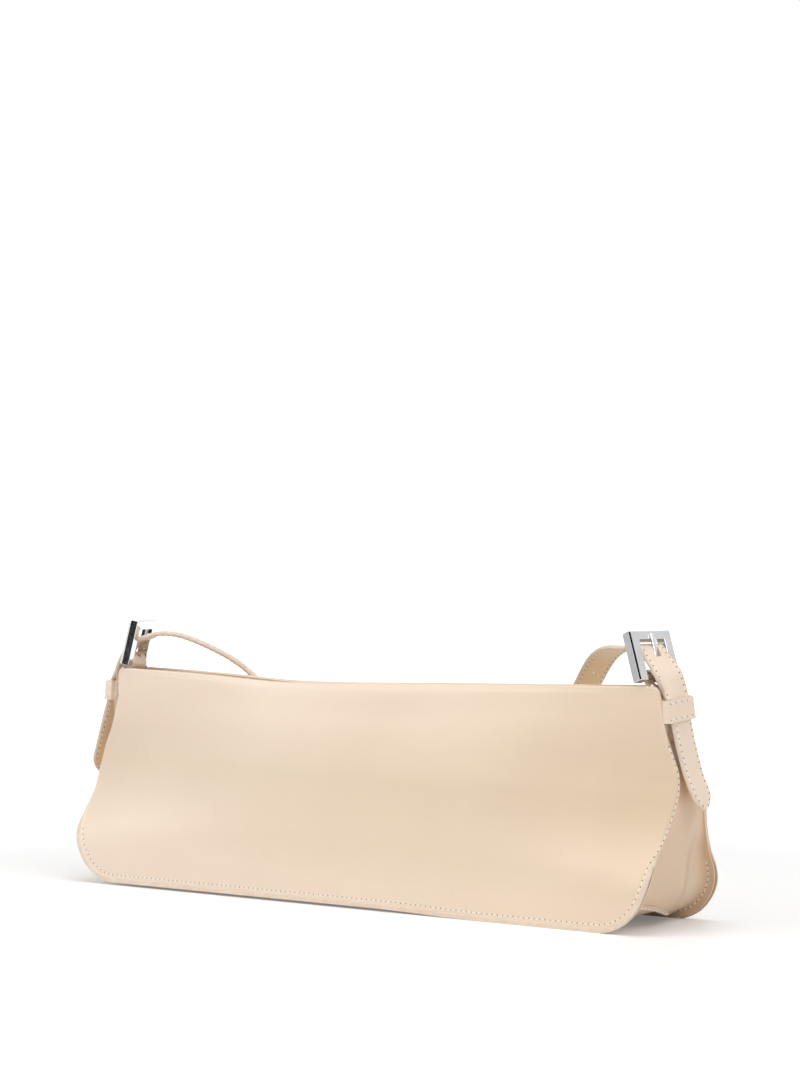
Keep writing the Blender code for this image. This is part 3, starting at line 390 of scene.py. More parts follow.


# Painted shade: the dark brown of the thin discs that stand in for the shadowed insides of the needle holes.
def hole_shade_paint():
    shader = Shader("hole_shade_paint")
    tone = shader.noise(700.0, 2.0)
    shader.colour(shader.ramp(tone, ((0.3, (0.3, 0.175, 0.1)), (0.7, (0.42, 0.26, 0.16)))))
    shader.rough(shader.span(tone, 0.7, 0.9))
    shader.bump(tone, 0.05 * MM)
    return shader.material


def steel():
    """Polished plate with faint rubbing marks and handling haze."""
    shader = Shader("polished_steel")
    haze = shader.noise(60.0, 4.0, 0.65)
    marks = shader.noise(500.0, 3.0, 0.6, stretch=(1.0, 1.0, 0.12))
    shader.colour(shader.ramp(haze, ((0.35, (0.74, 0.74, 0.745)), (0.7, (0.86, 0.86, 0.865)))))
    shader.rough(shader.span(haze, 0.05, 0.13))
    shader.bump(marks, 0.004 * MM, 0.4)
    shader.set(Metallic=1.0)
    return shader.material


def cloth(name, light, dark, count):
    """Plain woven cloth: two crossing sets of ribs."""
    shader = Shader(name)
    ribs = []
    for direction in ("X", "Z"):
        wave = shader.node("ShaderNodeTexWave", Scale=count, Distortion=0.4)
        wave.bands_direction = direction
        shader.link(shader.place, wave.inputs["Vector"])
        ribs.append(wave.outputs["Fac"])
    weave = shader.maths("MULTIPLY", ribs[0], ribs[1])
    mottle = shader.noise(120.0, 4.0, 0.7)
    tone = shader.maths("ADD", shader.maths("MULTIPLY", weave, 0.6), shader.maths("MULTIPLY", mottle, 0.4))
    shader.colour(shader.ramp(tone, ((0.1, dark), (0.7, light))))
    shader.rough(shader.span(weave, 0.95, 0.78))
    shader.bump(weave, 0.12 * MM)
    shader.set(Sheen_Weight=0.2, Sheen_Roughness=0.5)
    return shader.material


def board():
    shader = Shader("base_board")
    fibres = shader.noise(260.0, 5.0, 0.75, stretch=(0.2, 1.0, 1.0))
    shader.colour(shader.ramp(fibres, ((0.3, (0.20, 0.15, 0.11)), (0.7, (0.36, 0.29, 0.22)))))
    shader.rough(shader.span(fibres, 0.8, 0.95))
    shader.bump(fibres, 0.06 * MM)
    return shader.material


# The panels' cream calf, with painted light in its colour: a painted sheen by height and painted shade towards the
# right end.
CALF = leather("cream_calf", (0.93, 0.765, 0.625), (0.895, 0.725, 0.58), painted_light=True)
# Painted shade: a darker, more orange copy of the cream calf, for the sunk gussets and the base, which lie out of the
# light.
SHADED_GUSSET_CALF = leather("gusset_calf_painted_shade", (0.79, 0.585, 0.41), (0.745, 0.54, 0.365))
STRAP_CALF = leather("strap_calf", (0.93, 0.765, 0.615), (0.885, 0.71, 0.56), 0.4, 0.06)
STRAP_BACK = leather("strap_back", (0.97, 0.76, 0.5), (0.93, 0.7, 0.45), 0.46, 0.08)
FLESH = leather("leather_inside", (0.72, 0.53, 0.37), (0.66, 0.47, 0.32), 0.7, 0.14)
PAINT = edge_paint()
THREAD = thread()
HOLE_SHADE = hole_shade_paint()
STEEL = steel()
LINING = cloth("lining_cloth", (0.62, 0.50, 0.38), (0.48, 0.37, 0.27), 1300.0)
TAPE = cloth("zip_tape", (0.78, 0.63, 0.47), (0.62, 0.48, 0.34), 1700.0)
BOARD = board()


# Mesh helpers -------------------------------------------------------------------------------------------
def finish_piece(name, mesh, materials, body, replaced=(), bevel=0.0, segments=2, angle=38.0):
    for kind in materials:
        mesh.materials.append(kind)
    made = bpy.data.objects.new(name, mesh)
    bpy.context.collection.objects.link(made)
    mesh.shade_smooth()
    mesh.set_sharp_from_angle(angle=math.radians(angle))
    if bevel:
        edge = made.modifiers.new("soft_edges", "BEVEL")
        edge.width = bevel
        edge.segments = segments
        edge.limit_method = "ANGLE"
        edge.angle_limit = math.radians(50.0)
        edge.harden_normals = False
        mesh.shade_smooth()
    if body:
        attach(made, body)
    if replaced:
        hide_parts(*replaced)
    return made


def build_mesh(name, points, faces, kinds=None):
    """A mesh with outward faces. kinds gives each face's material number."""
    work = bmesh.new()
    corners = [work.verts.new(point) for point in points]
    for number, face in enumerate(faces):
        made = work.faces.new([corners[index] for index in face])
        made.material_index = kinds[number] if kinds else 0
    bmesh.ops.recalc_face_normals(work, faces=work.faces)
    if work.calc_volume(signed=True) < 0:
        bmesh.ops.reverse_faces(work, faces=work.faces)
    mesh = bpy.data.meshes.new(name)
    work.to_mesh(mesh)
    work.free()
    return mesh


def sheet_mesh(name, outer, inner, rims=(1, 1, 1, 1)):
    """Two grids joined into a closed sheet. Materials: 0 outside, 1 rim, 2 inside."""
    rows, columns = len(outer), len(outer[0])
    points = [point for grid in (outer, inner) for row in grid for point in row]
    half = rows * columns

    def at(layer, row, column):
        return layer * half + row * columns + column

    faces, kinds = [], []
    for row in range(rows - 1):
        for column in range(columns - 1):
            for layer in (0, 1):
                faces.append([at(layer, row, column), at(layer, row + 1, column),
                              at(layer, row + 1, column + 1), at(layer, row, column + 1)])
                kinds.append(2 * layer)
        for column, rim in ((0, rims[0]), (columns - 1, rims[1])):
            faces.append([at(0, row, column), at(0, row + 1, column),
                          at(1, row + 1, column), at(1, row, column)])
            kinds.append(rim)
    for row, rim in ((0, rims[2]), (rows - 1, rims[3])):
        for column in range(columns - 1):
            faces.append([at(0, row, column), at(0, row, column + 1),
                          at(1, row, column + 1), at(1, row, column)])
            kinds.append(rim)
    return build_mesh(name, points, faces, kinds)


def loft_mesh(name, rings, kinds_round=None, closed=False):
    """Rings of the same number of points joined in turn, capped at both ends unless closed."""
    count = len(rings[0])
    points = [point for ring in rings for point in ring]
    faces, kinds = [], []
    for level in range(len(rings) if closed else len(rings) - 1):
        above = (level + 1) % len(rings)
        for index in range(count):
            after = (index + 1) % count
            faces.append([level * count + index, level * count + after,
                          above * count + after, above * count + index])
            kinds.append(kinds_round[index] if kinds_round else 0)
    if not closed:
        cap = 1 if kinds_round else 0
        faces += [list(range(count)), list(range((len(rings) - 1) * count, len(rings) * count))]
        kinds += [cap, cap]
    return build_mesh(name, points, faces, kinds)


def smooth_value(shares, place):
    """Reads a monotone cubic through a table of (place, value)."""
    places = [pair[0] for pair in shares]
    values = [pair[1] for pair in shares]
    last = len(shares) - 1
    place = min(max(place, places[0]), places[last])
    index = next(i for i in range(last) if place <= places[i + 1])
    rises = [(values[i + 1] - values[i]) / (places[i + 1] - places[i]) for i in range(last)]

    def slope(knot):
        if knot == 0 or knot == last:
            return rises[min(knot, last - 1)]
        before, after = rises[knot - 1], rises[knot]
        return 2 * before * after / (before + after) if before * after > 0 else 0.0

    gap = places[index + 1] - places[index]
    t = (place - places[index]) / gap
    return (values[index] * (1 + 2 * t) * (1 - t) ** 2 + values[index + 1] * t * t * (3 - 2 * t)
            + gap * (slope(index) * t * (1 - t) ** 2 - slope(index + 1) * t * t * (1 - t)))


def ease(value, start, stop):
    t = min(1.0, max(0.0, (value - start) / (stop - start)))
    return t * t * (3 - 2 * t)


def curve_through(points, step):
    """A smooth curve through the points, read at even steps along its length."""
    dense = []
    for index in range(len(points) - 1):
        before = points[max(index - 1, 0)]
        start, stop = points[index], points[index + 1]
        after = points[min(index + 2, len(points) - 1)]
        for part in range(20):
            t = part / 20
            square = 2 * before - 5 * start + 4 * stop - after
            cube = 3 * start - before - 3 * stop + after
            dense.append((2 * start + (stop - before) * t + square * t ** 2 + cube * t ** 3) / 2)
    dense.append(points[-1])
    return even_steps(dense, step)


def even_steps(dense, step):
    lengths = [0.0]
    for one, two in zip(dense, dense[1:]):
        lengths.append(lengths[-1] + (two - one).length)
    count = max(2, round(lengths[-1] / step))
    line, index = [], 0
    for number in range(count + 1):
        wanted = lengths[-1] * number / count
        while index < len(dense) - 2 and lengths[index + 1] < wanted:
            index += 1
        gap = lengths[index + 1] - lengths[index]
        line.append(dense[index].lerp(dense[index + 1], (wanted - lengths[index]) / gap if gap else 0.0))
    return line


def stitches(name, runs, body, pitch=STITCH_PITCH, radius=0.42 * MM, slant=0.0, hole_shades=True):
    """Sewn rows. Each run is a list of (place, normal). Every stitch is a raised thread, and where asked a thin dark
    disc of painted shade marks the needle hole at its start.
    """
    points, faces, kinds = [], [], []
    rings = ((0.12, 0.5), (0.22, 0.95), (0.5, 1.0), (0.78, 0.95), (0.88, 0.5))
    for run in runs:
        lengths = [0.0]
        for one, two in zip(run, run[1:]):
            lengths.append(lengths[-1] + (two[0] - one[0]).length)
        count = max(1, round(lengths[-1] / pitch))
        index, spots = 0, []
        for number in range(count + 1):
            wanted = lengths[-1] * number / count
            while index < len(run) - 2 and lengths[index + 1] < wanted:
                index += 1
            gap = lengths[index + 1] - lengths[index]
            t = (wanted - lengths[index]) / gap if gap else 0.0
            spots.append((run[index][0].lerp(run[index + 1][0], t),
                          run[index][1].lerp(run[index + 1][1], t).normalized()))
        for (start, normal), (stop, _) in zip(spots, spots[1:]):
            along = stop - start
            across = along.normalized().cross(normal).normalized()
            lean = across * slant
            first = len(points)
            for share, size in rings:
                centre = start + along * share + lean * (share - 0.5) * 2 + normal * radius * 0.1
                for step in range(6):
                    angle = math.tau * step / 6
                    points.append(centre + across * radius * size * math.cos(angle)
                                  + normal * radius * 0.65 * size * math.sin(angle))
            for ring in range(len(rings) - 1):
                for step in range(6):
                    after = (step + 1) % 6
                    low = first + ring * 6
                    faces.append([low + step, low + after, low + 6 + after, low + 6 + step])
                    kinds.append(0)
            for low in (first, first + (len(rings) - 1) * 6):
                faces.append([low + step for step in range(6)])
                kinds.append(0)
            # Painted shade: a thin dark disc at the surface stands in for the shadowed inside of the needle hole.
            if hole_shades:
                first = len(points)
                ahead = along.normalized()
                for lift in (0.05 * MM, -0.12 * MM):
                    for step in range(6):
                        angle = math.tau * step / 6
                        points.append(start + across * radius * 1.0 * math.cos(angle) + normal * lift
                                      + ahead * radius * 1.1 * math.sin(angle))
                faces += [[first + step for step in range(6)], [first + 6 + step for step in range(6)]]
                faces += [[first + step, first + (step + 1) % 6, first + 6 + (step + 1) % 6, first + 6 + step]
                          for step in range(6)]
                kinds += [1] * 8
    mesh = build_mesh(name, points, faces, kinds)
    return finish_piece(name, mesh, (THREAD, HOLE_SHADE), body)


# Body of the bag ----------------------------------------------------------------------------------------
def side_length(height):
    return WIDEST_HALF_LENGTH * smooth_value(EDGE_LENGTH_SHARES, height / BAG_HEIGHT)


def corner_centre():
    return side_length(0.0) - CORNER_RADIUS


def half_length(height):
    drop = max(CORNER_RADIUS - height, 0.0)
    return side_length(height) - CORNER_RADIUS + math.sqrt(max(CORNER_RADIUS ** 2 - drop ** 2, 0.0))


def half_depth(out, height):
    share = height / BAG_HEIGHT
    edge = smooth_value(EDGE_DEPTH_SHARES, share)
    middle = smooth_value(MIDDLE_DEPTH_SHARES, share)
    bow = 1 - min(abs(out) / side_length(height), 1.0) ** BOW_POWER
    return BASE_HALF_DEPTH * (edge + (middle - edge) * bow)


def sag(out, height):
    along = out / half_length(height)
    return TOP_SAG * (1 - along ** 2) * (height / BAG_HEIGHT) ** SAG_POWER


def wrap_width(side, end, height):
    shares = FRONT_WRAP_SHARES if end > 0 else LEFT_WRAP_SHARES
    return smooth_value(shares, height / BAG_HEIGHT) * MM if side < 0 else 0.0


def settle(spot):
    """Small shifts read from the photograph: the front's left corner and foot, and the back's right corner."""
    share = spot.z / BAG_HEIGHT
    front, back = ease(-spot.y, 4 * MM, 16 * MM), ease(spot.y, 4 * MM, 16 * MM)
    swell = front * smooth_value(LEFT_SWELL_SHARES, share) * MM * ease(-spot.x, 120 * MM, 200 * MM)
    tuck = back * smooth_value(RIGHT_TUCK_SHARES, share) * MM * ease(spot.x, 130 * MM, 200 * MM)
    lift = front * FOOT_LIFT * (1 - ease(spot.x, 20 * MM, 110 * MM)) * (1 - ease(spot.z, 25 * MM, 75 * MM))
    off = (spot.x - TOP_DIP_AT) / (TOP_DIP_RIGHT if spot.x > TOP_DIP_AT else TOP_DIP_LEFT)
    dip = TOP_DIP * math.exp(-off * off) * ease(spot.z, 0.76 * BAG_HEIGHT, BAG_HEIGHT)
    return Vector((spot.x - swell - tuck, spot.y, spot.z + lift - dip))


def band_width(height):
    """The painted double edge that shows along the foot and dies out up the ends."""
    return BAND * (1 - ease(height, 26 * MM, 47 * MM))


def edge_out(end, height):
    """The panels' outline, with its top corners rounded off."""
    corner = TOP_CORNERS[end]
    rise = max(height - (BAG_HEIGHT - corner), 0.0)
    return half_length(height) - corner + math.sqrt(max(corner ** 2 - rise ** 2, 0.0))


def relief(side, out, height, inset):
    """The leather's slow waves, the pinch of the seam, the kick of the sewn foot and its painted band."""
    calm = ease(inset, 4 * MM, 42 * MM) * ease(BAG_HEIGHT - height, 0.0, 22 * MM)
    wave = noise.noise(Vector((out * 8, height * 6, 3.0 + side))) * 1.7 * MM
    wave += noise.noise(Vector((out * 24, height * 12, 8.0 + side))) * 0.3 * MM
    low = 1 - ease(height, 24 * MM, 46 * MM)
    kick = KICK * max(0.0, 1 - inset / KICK_REACH) ** 2 * low
    band = band_width(height)
    sewn = band + STITCH_INSET
    pinch = -0.26 * MM * math.exp(-((inset - sewn) / (0.75 * MM)) ** 2)
    if band > 0.1 * MM:
        share = inset / band
        kick += BAND_PROUD * (band / BAND) * max(0.0, 1 - max(0.0, share - 0.82) / 0.18) if share < 1 else 0.0
        pinch -= 0.22 * MM * (band / BAND) * math.exp(-((inset - band - 0.3 * MM) / (0.3 * MM)) ** 2)
    top = 0.5 * MM * math.exp(-((BAG_HEIGHT - height) / (2.2 * MM)) ** 2)
    return wave * calm + kick + pinch - top


def outline_at(out, height, way, inset):
    return out + way[0] * inset, height + way[1] * inset


def panel_point(side, end, station, inset):
    """A place on a panel's outer face, a distance in from its cut edge measured along the leather."""
    out, height, way = station
    width = wrap_width(side, end, height) if way[1] == 0.0 else 0.0

    def face(inwards):
        x, z = outline_at(out, height, way, inwards)
        return Vector((x, half_depth(x, max(z, 0.0)) + relief(side, end * x, z, inwards + width))), z

    if width <= 0.0:
        spot, level = face(inset)
        return Vector((end * spot.x, side * spot.y, level - sag(spot.x, level)))
    turn = WRAP_TURN * ease(width, 0.0, 2.2 * MM)
    reach = WRAP_RADIUS * math.sin(turn) + max(width - WRAP_RADIUS * turn, 0.0) * math.cos(turn)
    ridge = min(reach, width)
    if inset >= width:
        spot, level = face(inset - width + ridge)
        return Vector((end * spot.x, side * spot.y, level - sag(spot.x, level)))
    start, level = face(ridge)
    way_out = (start - face(ridge + 0.8 * MM)[0]).normalized()
    travel = width - inset
    bent = min(travel, WRAP_RADIUS * turn)
    angle = bent / WRAP_RADIUS
    spot = start.copy()
    for step in range(6):
        spot += Matrix.Rotation(-angle * (step + 0.5) / 6, 2) @ way_out * (bent / 6)
    straight = Matrix.Rotation(-angle, 2) @ way_out
    spot += straight * (travel - bent)
    sewn = math.exp(-((inset - STITCH_INSET) / (0.7 * MM)) ** 2)
    spot -= Vector((straight.y, -straight.x)) * -0.2 * MM * sewn * -1
    return Vector((end * spot.x, side * spot.y, level - sag(spot.x, level)))


INSETS = [step * MM for step in (0.0, 0.4, 0.9, 1.4, 1.75, 2.05, 2.3, 2.6, 3.0, 3.4, 3.7, 4.0, 4.3, 4.7, 5.2, 6.0,
                                 7.5, 9.6, 12.0)]
CORNER_STEPS = 18
FOOT_STEPS = 44


def side_stations(end):
    """The outline from the top corner down one end: (out, height, way inwards)."""
    levels = [0.0, 0.25, 0.7, 1.3, 2.0, 2.8, 4.0, 6.0]
    top = BAG_HEIGHT - levels[-1] * MM
    heights = [BAG_HEIGHT - level * MM for level in levels]
    heights += [top + (CORNER_RADIUS - top) * step / 44 for step in range(1, 45)]
    return [(edge_out(end, height), height, (-1.0, 0.0)) for height in heights]


def corner_stations():
    stations = []
    for step in range(1, CORNER_STEPS + 1):
        angle = math.pi / 2 * (1 - step / CORNER_STEPS)
        s, c = math.sin(angle), math.cos(angle)
        stations.append((corner_centre() + CORNER_RADIUS * s, CORNER_RADIUS * (1 - c), (-s, c)))
    return stations


def panel(name, side):
    """A bowed panel. Its mesh follows the outline in a band, and the middle is filled row by row."""
    down = side_stations(1) + corner_stations()
    foot = [(corner_centre() * (1 - 2 * step / FOOT_STEPS), 0.0, (0.0, 1.0)) for step in range(1, FOOT_STEPS)]
    outer, kinds_by_face, faces = [], [], []
    around = [(1, station) for station in down + foot]
    around += [(-1, station) for station in reversed(side_stations(-1) + corner_stations())]
    depth_count = len(INSETS)
    for end, station in around:
        outer += [panel_point(side, end, station, inset) for inset in INSETS]
    for number in range(len(around) - 1):
        band = band_width(around[number][1][1])
        for step in range(depth_count - 1):
            low = number * depth_count + step
            faces.append([low, low + 1, low + 1 + depth_count, low + depth_count])
            kinds_by_face.append(1 if INSETS[step + 1] <= band + 0.01 * MM else 0)

    def ring(number):
        return number * depth_count + depth_count - 1

    rows = [[ring(number)] for number in range(len(down))]
    last = len(around) - 1
    for number, row in enumerate(rows[:-1]):
        right, left = outer[ring(number)], outer[ring(last - number)]
        height = around[number][1][1] + around[number][1][2][1] * INSETS[-1]
        for step in range(1, FOOT_STEPS):
            out = right.x + (left.x - right.x) * step / FOOT_STEPS
            inset = INSETS[-1] + min(abs(right.x - out), abs(left.x - out)) * 0.9
            if height < CORNER_RADIUS + 12 * MM:
                inset = min(inset, max(height, INSETS[-1]))
            row.append(len(outer))
            outer.append(Vector((out, side * (half_depth(out, height) + relief(side, out, height, inset)),
                                 height - sag(out, height))))
        row.append(ring(last - number))
    rows[-1] = [ring(len(down) - 1 + step) for step in range(FOOT_STEPS + 1)]
    for one, two in zip(rows, rows[1:]):
        for step in range(FOOT_STEPS):
            faces.append([one[step], one[step + 1], two[step + 1], two[step]])
            kinds_by_face.append(0)
    top = list(range(depth_count)) + rows[0][1:-1] + [last * depth_count + depth_count - 1 - step
                                                      for step in range(depth_count)]
    edge = [number * depth_count for number in range(len(around))]
    outer = [settle(spot) for spot in outer]
    mesh = thick_mesh(name, outer, faces, kinds_by_face, side, top, edge)
    return finish_piece(name, mesh, (CALF, PAINT, FLESH), "bag",
                        ["front_panel" if side < 0 else "back_panel"])


def thick_mesh(name, outer, faces, kinds, side, top, edge):
    """Gives the panel's face its thickness, with a soft roll at the top and a rounded cut edge elsewhere."""
    work = bmesh.new()
    corners = [work.verts.new(place) for place in outer]
    for face in faces:
        work.faces.new([corners[index] for index in face])
    work.normal_update()
    total = sum((vert.normal.y for vert in corners))
    flip = 1.0 if total * side > 0 else -1.0
    normals = [vert.normal * flip for vert in corners]
    work.free()
    points = list(outer)
    for place, normal in zip(outer, normals):
        hem = HEM_TURN * ease(place.z, 0.915 * BAG_HEIGHT, 0.935 * BAG_HEIGHT)
        points.append(place - normal * (PANEL_LEATHER + hem))
    count = len(outer)
    made = [list(face) for face in faces] + [[index + count for index in face] for face in faces]
    kinds = list(kinds) + [0 if outer[face[0]].z > 0.9 * BAG_HEIGHT else 2 for face in faces]
    for path, kind, bulge, way in ((top, 0, 0.42, Vector((0.0, 0.0, 1.0))), (edge, 1, 0.22, None)):
        lines = [list(path)]
        for share in (0.12, 0.3, 0.5, 0.7, 0.88):
            line = []
            for number, index in enumerate(path):
                one, two = points[index], points[index + count]
                push = way
                if way is None:
                    ahead = points[path[min(number + 1, len(path) - 1)]] - points[path[max(number - 1, 0)]]
                    push = ahead.cross(two - one).normalized()
                    inward = outer[index + 1] - outer[index]
                    push = -push if push.dot(inward) > 0 else push
                line.append(len(points))
                points.append(one.lerp(two, share)
                              + push * bulge * (two - one).length * math.sin(math.pi * share) ** 0.6)
            lines.append(line)
        lines.append([index + count for index in path])
        for one, two in zip(lines, lines[1:]):
            for number in range(len(path) - 1):
                made.append([one[number], one[number + 1], two[number + 1], two[number]])
                kinds.append(kind)
        if way is not None:
            ends = [[line[0] for line in lines], [line[-1] for line in lines]]
        else:
            for number, line_end in ((0, ends[0]), (-1, ends[1])):
                closing = [line[number] for line in lines]
                made.append(line_end + list(reversed(closing))[1:-1])
                kinds.append(1)
    return build_mesh(name, points, made, kinds)


def seam_run(side):
    """The stitched row of a panel: up one end, round the lower corners, and up the other end."""
    tops = {1: 0.77, -1: 0.27} if side < 0 else {1: 0.93, -1: 0.93}
    downs = {end: [station for station in side_stations(end) + corner_stations()
                   if station[1] < tops[end] * BAG_HEIGHT] for end in (1, -1)}
    foot = [(corner_centre() * (1 - 2 * step / FOOT_STEPS), 0.0, (0.0, 1.0)) for step in range(1, FOOT_STEPS)]
    around = [(1, station) for station in downs[1] + foot]
    around += [(-1, station) for station in reversed(downs[-1])]
    run = []
    for number, (end, station) in enumerate(around):
        sewn = band_width(station[1]) + STITCH_INSET
        place = panel_point(side, end, station, sewn)
        ahead_end, ahead_station = around[min(number + 1, len(around) - 1)]
        behind_end, behind_station = around[max(number - 1, 0)]
        ahead = (panel_point(side, ahead_end, ahead_station, band_width(ahead_station[1]) + STITCH_INSET)
                 - panel_point(side, behind_end, behind_station, band_width(behind_station[1]) + STITCH_INSET))
        inwards = (panel_point(side, end, station, sewn + 0.3 * MM)
                   - panel_point(side, end, station, sewn - 0.3 * MM))
        normal = ahead.cross(inwards).normalized()
        outward = Vector((end * 0.5 if wrap_width(side, end, station[1]) else 0.0, side * 0.8, 0.0))
        run.append((settle(place), normal if normal.dot(outward) > 0 else -normal))
    return run


def recess_of(shares, height):
    return smooth_value(shares, height / BAG_HEIGHT) * MM


def inside_depth(out, height):
    return half_depth(out, height) - PANEL_LEATHER - TOUCH


def web_recess(height, share):
    """How deep the gusset's web lies inside the panels' edges, from its near side to its far side."""
    near, far = recess_of(NEAR_RECESS_SHARES, height), recess_of(FAR_RECESS_SHARES, height)
    bulge = GUSSET_BULGE * max(0.0, 1 - height / (0.72 * BAG_HEIGHT))
    return near + (far - near) * ease(share, 0.0, 1.0) - bulge * math.sin(math.pi * share) ** 0.8


def gusset_section(height, end):
    """The gusset seen from above at a height: sunk web between the front flange and the back flange."""
    edge = Vector((half_length(height), height))
    drop = max(CORNER_RADIUS - height, 0.0)
    inward = Vector((corner_centre() - edge.x, drop)).normalized() if drop else Vector((-1.0, 0.0))
    near, far = recess_of(NEAR_RECESS_SHARES, height), recess_of(FAR_RECESS_SHARES, height)
    hidden = 1.9 * MM * ease(wrap_width(-1, end, height), 0.4 * MM, 2.0 * MM)

    def depth_at(sunk):
        spot = edge + inward * sunk
        return inside_depth(spot.x, spot.y) - GUSSET_LEATHER

    section = [(hidden, -depth_at(hidden)), (near * 0.6 + hidden * 0.4, -depth_at(near * 0.6)), (near, -depth_at(near))]
    low, high = -depth_at(near), depth_at(far)
    for step in range(1, 16):
        section.append((web_recess(height, step / 16), low + (high - low) * step / 16))
    section += [(far, high), (far * 0.6, depth_at(far * 0.6)), (0.0, depth_at(0.0))]
    for _ in range(2):
        cut = [section[0]]
        for one, two in zip(section, section[1:]):
            cut.append((one[0] * 0.75 + two[0] * 0.25, one[1] * 0.75 + two[1] * 0.25))
            cut.append((one[0] * 0.25 + two[0] * 0.75, one[1] * 0.25 + two[1] * 0.75))
        section = cut + [section[-1]]
    return [(edge + inward * sunk, depth) for sunk, depth in section], inward


def gusset(name, side):
    """Its lower edge follows the base's lap, which covers it."""
    top = GUSSET_TOP_SHARE * BAG_HEIGHT
    reference, _ = gusset_section(CORNER_RADIUS, side)
    widest = max(depth for _, depth in reference)
    feet = [max(math.pi / 2 - lap_angle(depth / widest) - LAP_UNDER / CORNER_RADIUS, 0.03) for _, depth in reference]
    rows = [[CORNER_RADIUS * (1 - math.cos(turn + (math.pi / 2 - turn) * step / 14)) for turn in feet]
            for step in range(14)]
    rows += [[CORNER_RADIUS + (top - CORNER_RADIUS) * step / 30] * len(feet) for step in range(31)]
    outer, inner = [], []
    for heights in rows:
        level = heights[0] == heights[-1]
        whole = gusset_section(heights[0], side)
        cuts = [whole if level else gusset_section(height, side) for height in heights]
        row = [Vector((cut_at[0][index][0].x, cut_at[0][index][1], cut_at[0][index][0].y))
               for index, cut_at in enumerate(cuts)]
        thin = []
        for index, place in enumerate(row):
            ahead = (row[min(index + 1, len(row) - 1)] - row[max(index - 1, 0)]).normalized()
            inward = cuts[index][1]
            binormal = Vector((inward.x, 0.0, inward.y)).cross(Vector((0.0, 1.0, 0.0))).normalized()
            thin.append(place + ahead.cross(binormal).normalized() * GUSSET_LEATHER)
        outer.append([settle(Vector((side * spot.x, spot.y, spot.z))) for spot in row])
        inner.append([settle(Vector((side * spot.x, spot.y, spot.z))) for spot in thin])
    mesh = sheet_mesh(name, outer, inner)
    node = "gusset_left" if side < 0 else "gusset_right"
    run = []
    for height in [heights[-1] for heights in rows if heights[-1] < FAR_SEAM_TOP]:
        _, inward = gusset_section(height, side)
        spot = Vector((half_length(height), height)) + inward * FAR_SEAM_INSET
        place = Vector((side * spot.x, inside_depth(spot.x, spot.y) - GUSSET_LEATHER, spot.y))
        run.append((settle(place), Vector((0.0, -1.0, 0.0))))
    stitches(name + "_seam", [run], "bag")
    # The gusset's leather is the painted-shade copy of the cream calf.
    return finish_piece(name, mesh, (SHADED_GUSSET_CALF, PAINT, FLESH), "bag", [node], bevel=0.2 * MM)


# Base ---------------------------------------------------------------------------------------------------
BASE_ACROSS_SHARES = (-1.0, -0.97, -0.94, -0.9, -0.8, -0.65, -0.45, -0.22, 0.0, 0.22, 0.45, 0.65, 0.8, 0.9, 0.94,
                      0.97, 1.0)


def base_sink(place, across_share, from_lap):
    """How far the web lies inside the panels' edges: it laps over the gusset, folds in, and rests on the floor."""
    along = ease(abs(place.x), 0.74 * corner_centre(), 0.86 * corner_centre())
    across = ease(abs(across_share), 0.84, 0.97)
    rest = BASE_LIFT * max(along, across)
    if from_lap > LAP_REACH:
        return rest
    fold = LAP_FOLD * ease(from_lap, LAP_WIDTH, 1.7 * LAP_WIDTH) * (1 - across)
    share = 0.5 + 0.5 * across_share
    lapped = web_recess(max(place.y, 0.0), share) - GUSSET_LEATHER - 0.1 * MM
    fade = ease(from_lap, 0.35 * LAP_REACH, LAP_REACH)
    return (lapped + fold) * (1 - fade) + rest * fade


def lap_angle(across_share):
    """How far round the corner the base's end laps up on the gusset: high at the front, under the foot at the back."""
    return math.radians(smooth_value(LAP_TURNS, across_share))


def base_place(across_share, step):
    """The base's path seen from the front, from the right end: 18 steps round the corner and 26 along."""
    centre = corner_centre()
    if step > 44:
        place, way, from_lap = base_place(across_share, 88 - step)
        return Vector((-place.x, place.y)), Vector((-way.x, way.y)), from_lap
    first = lap_angle(across_share)
    if step >= 18:
        round_corner = (math.pi / 2 - first) * CORNER_RADIUS
        out = centre * (1 - (step - 18) / 26)
        return Vector((out, 0.0)), Vector((0.0, 1.0)), round_corner + centre - out
    angle = first + (math.pi / 2 - first) * step / 18
    spoke = Vector((math.cos(angle), -math.sin(angle)))
    return Vector((centre, CORNER_RADIUS)) + spoke * CORNER_RADIUS, -spoke, (angle - first) * CORNER_RADIUS


def base_spot(across_share, place, inward, from_lap, skin=0.0):
    rim_depth = inside_depth(abs(place.x), place.y) - GUSSET_LEATHER + skin
    spot = place + inward * (base_sink(place, across_share, from_lap) + skin)
    spot_depth = inside_depth(abs(spot.x), spot.y) - GUSSET_LEATHER + skin
    return Vector((spot.x, across_share * min(rim_depth, spot_depth), spot.y))


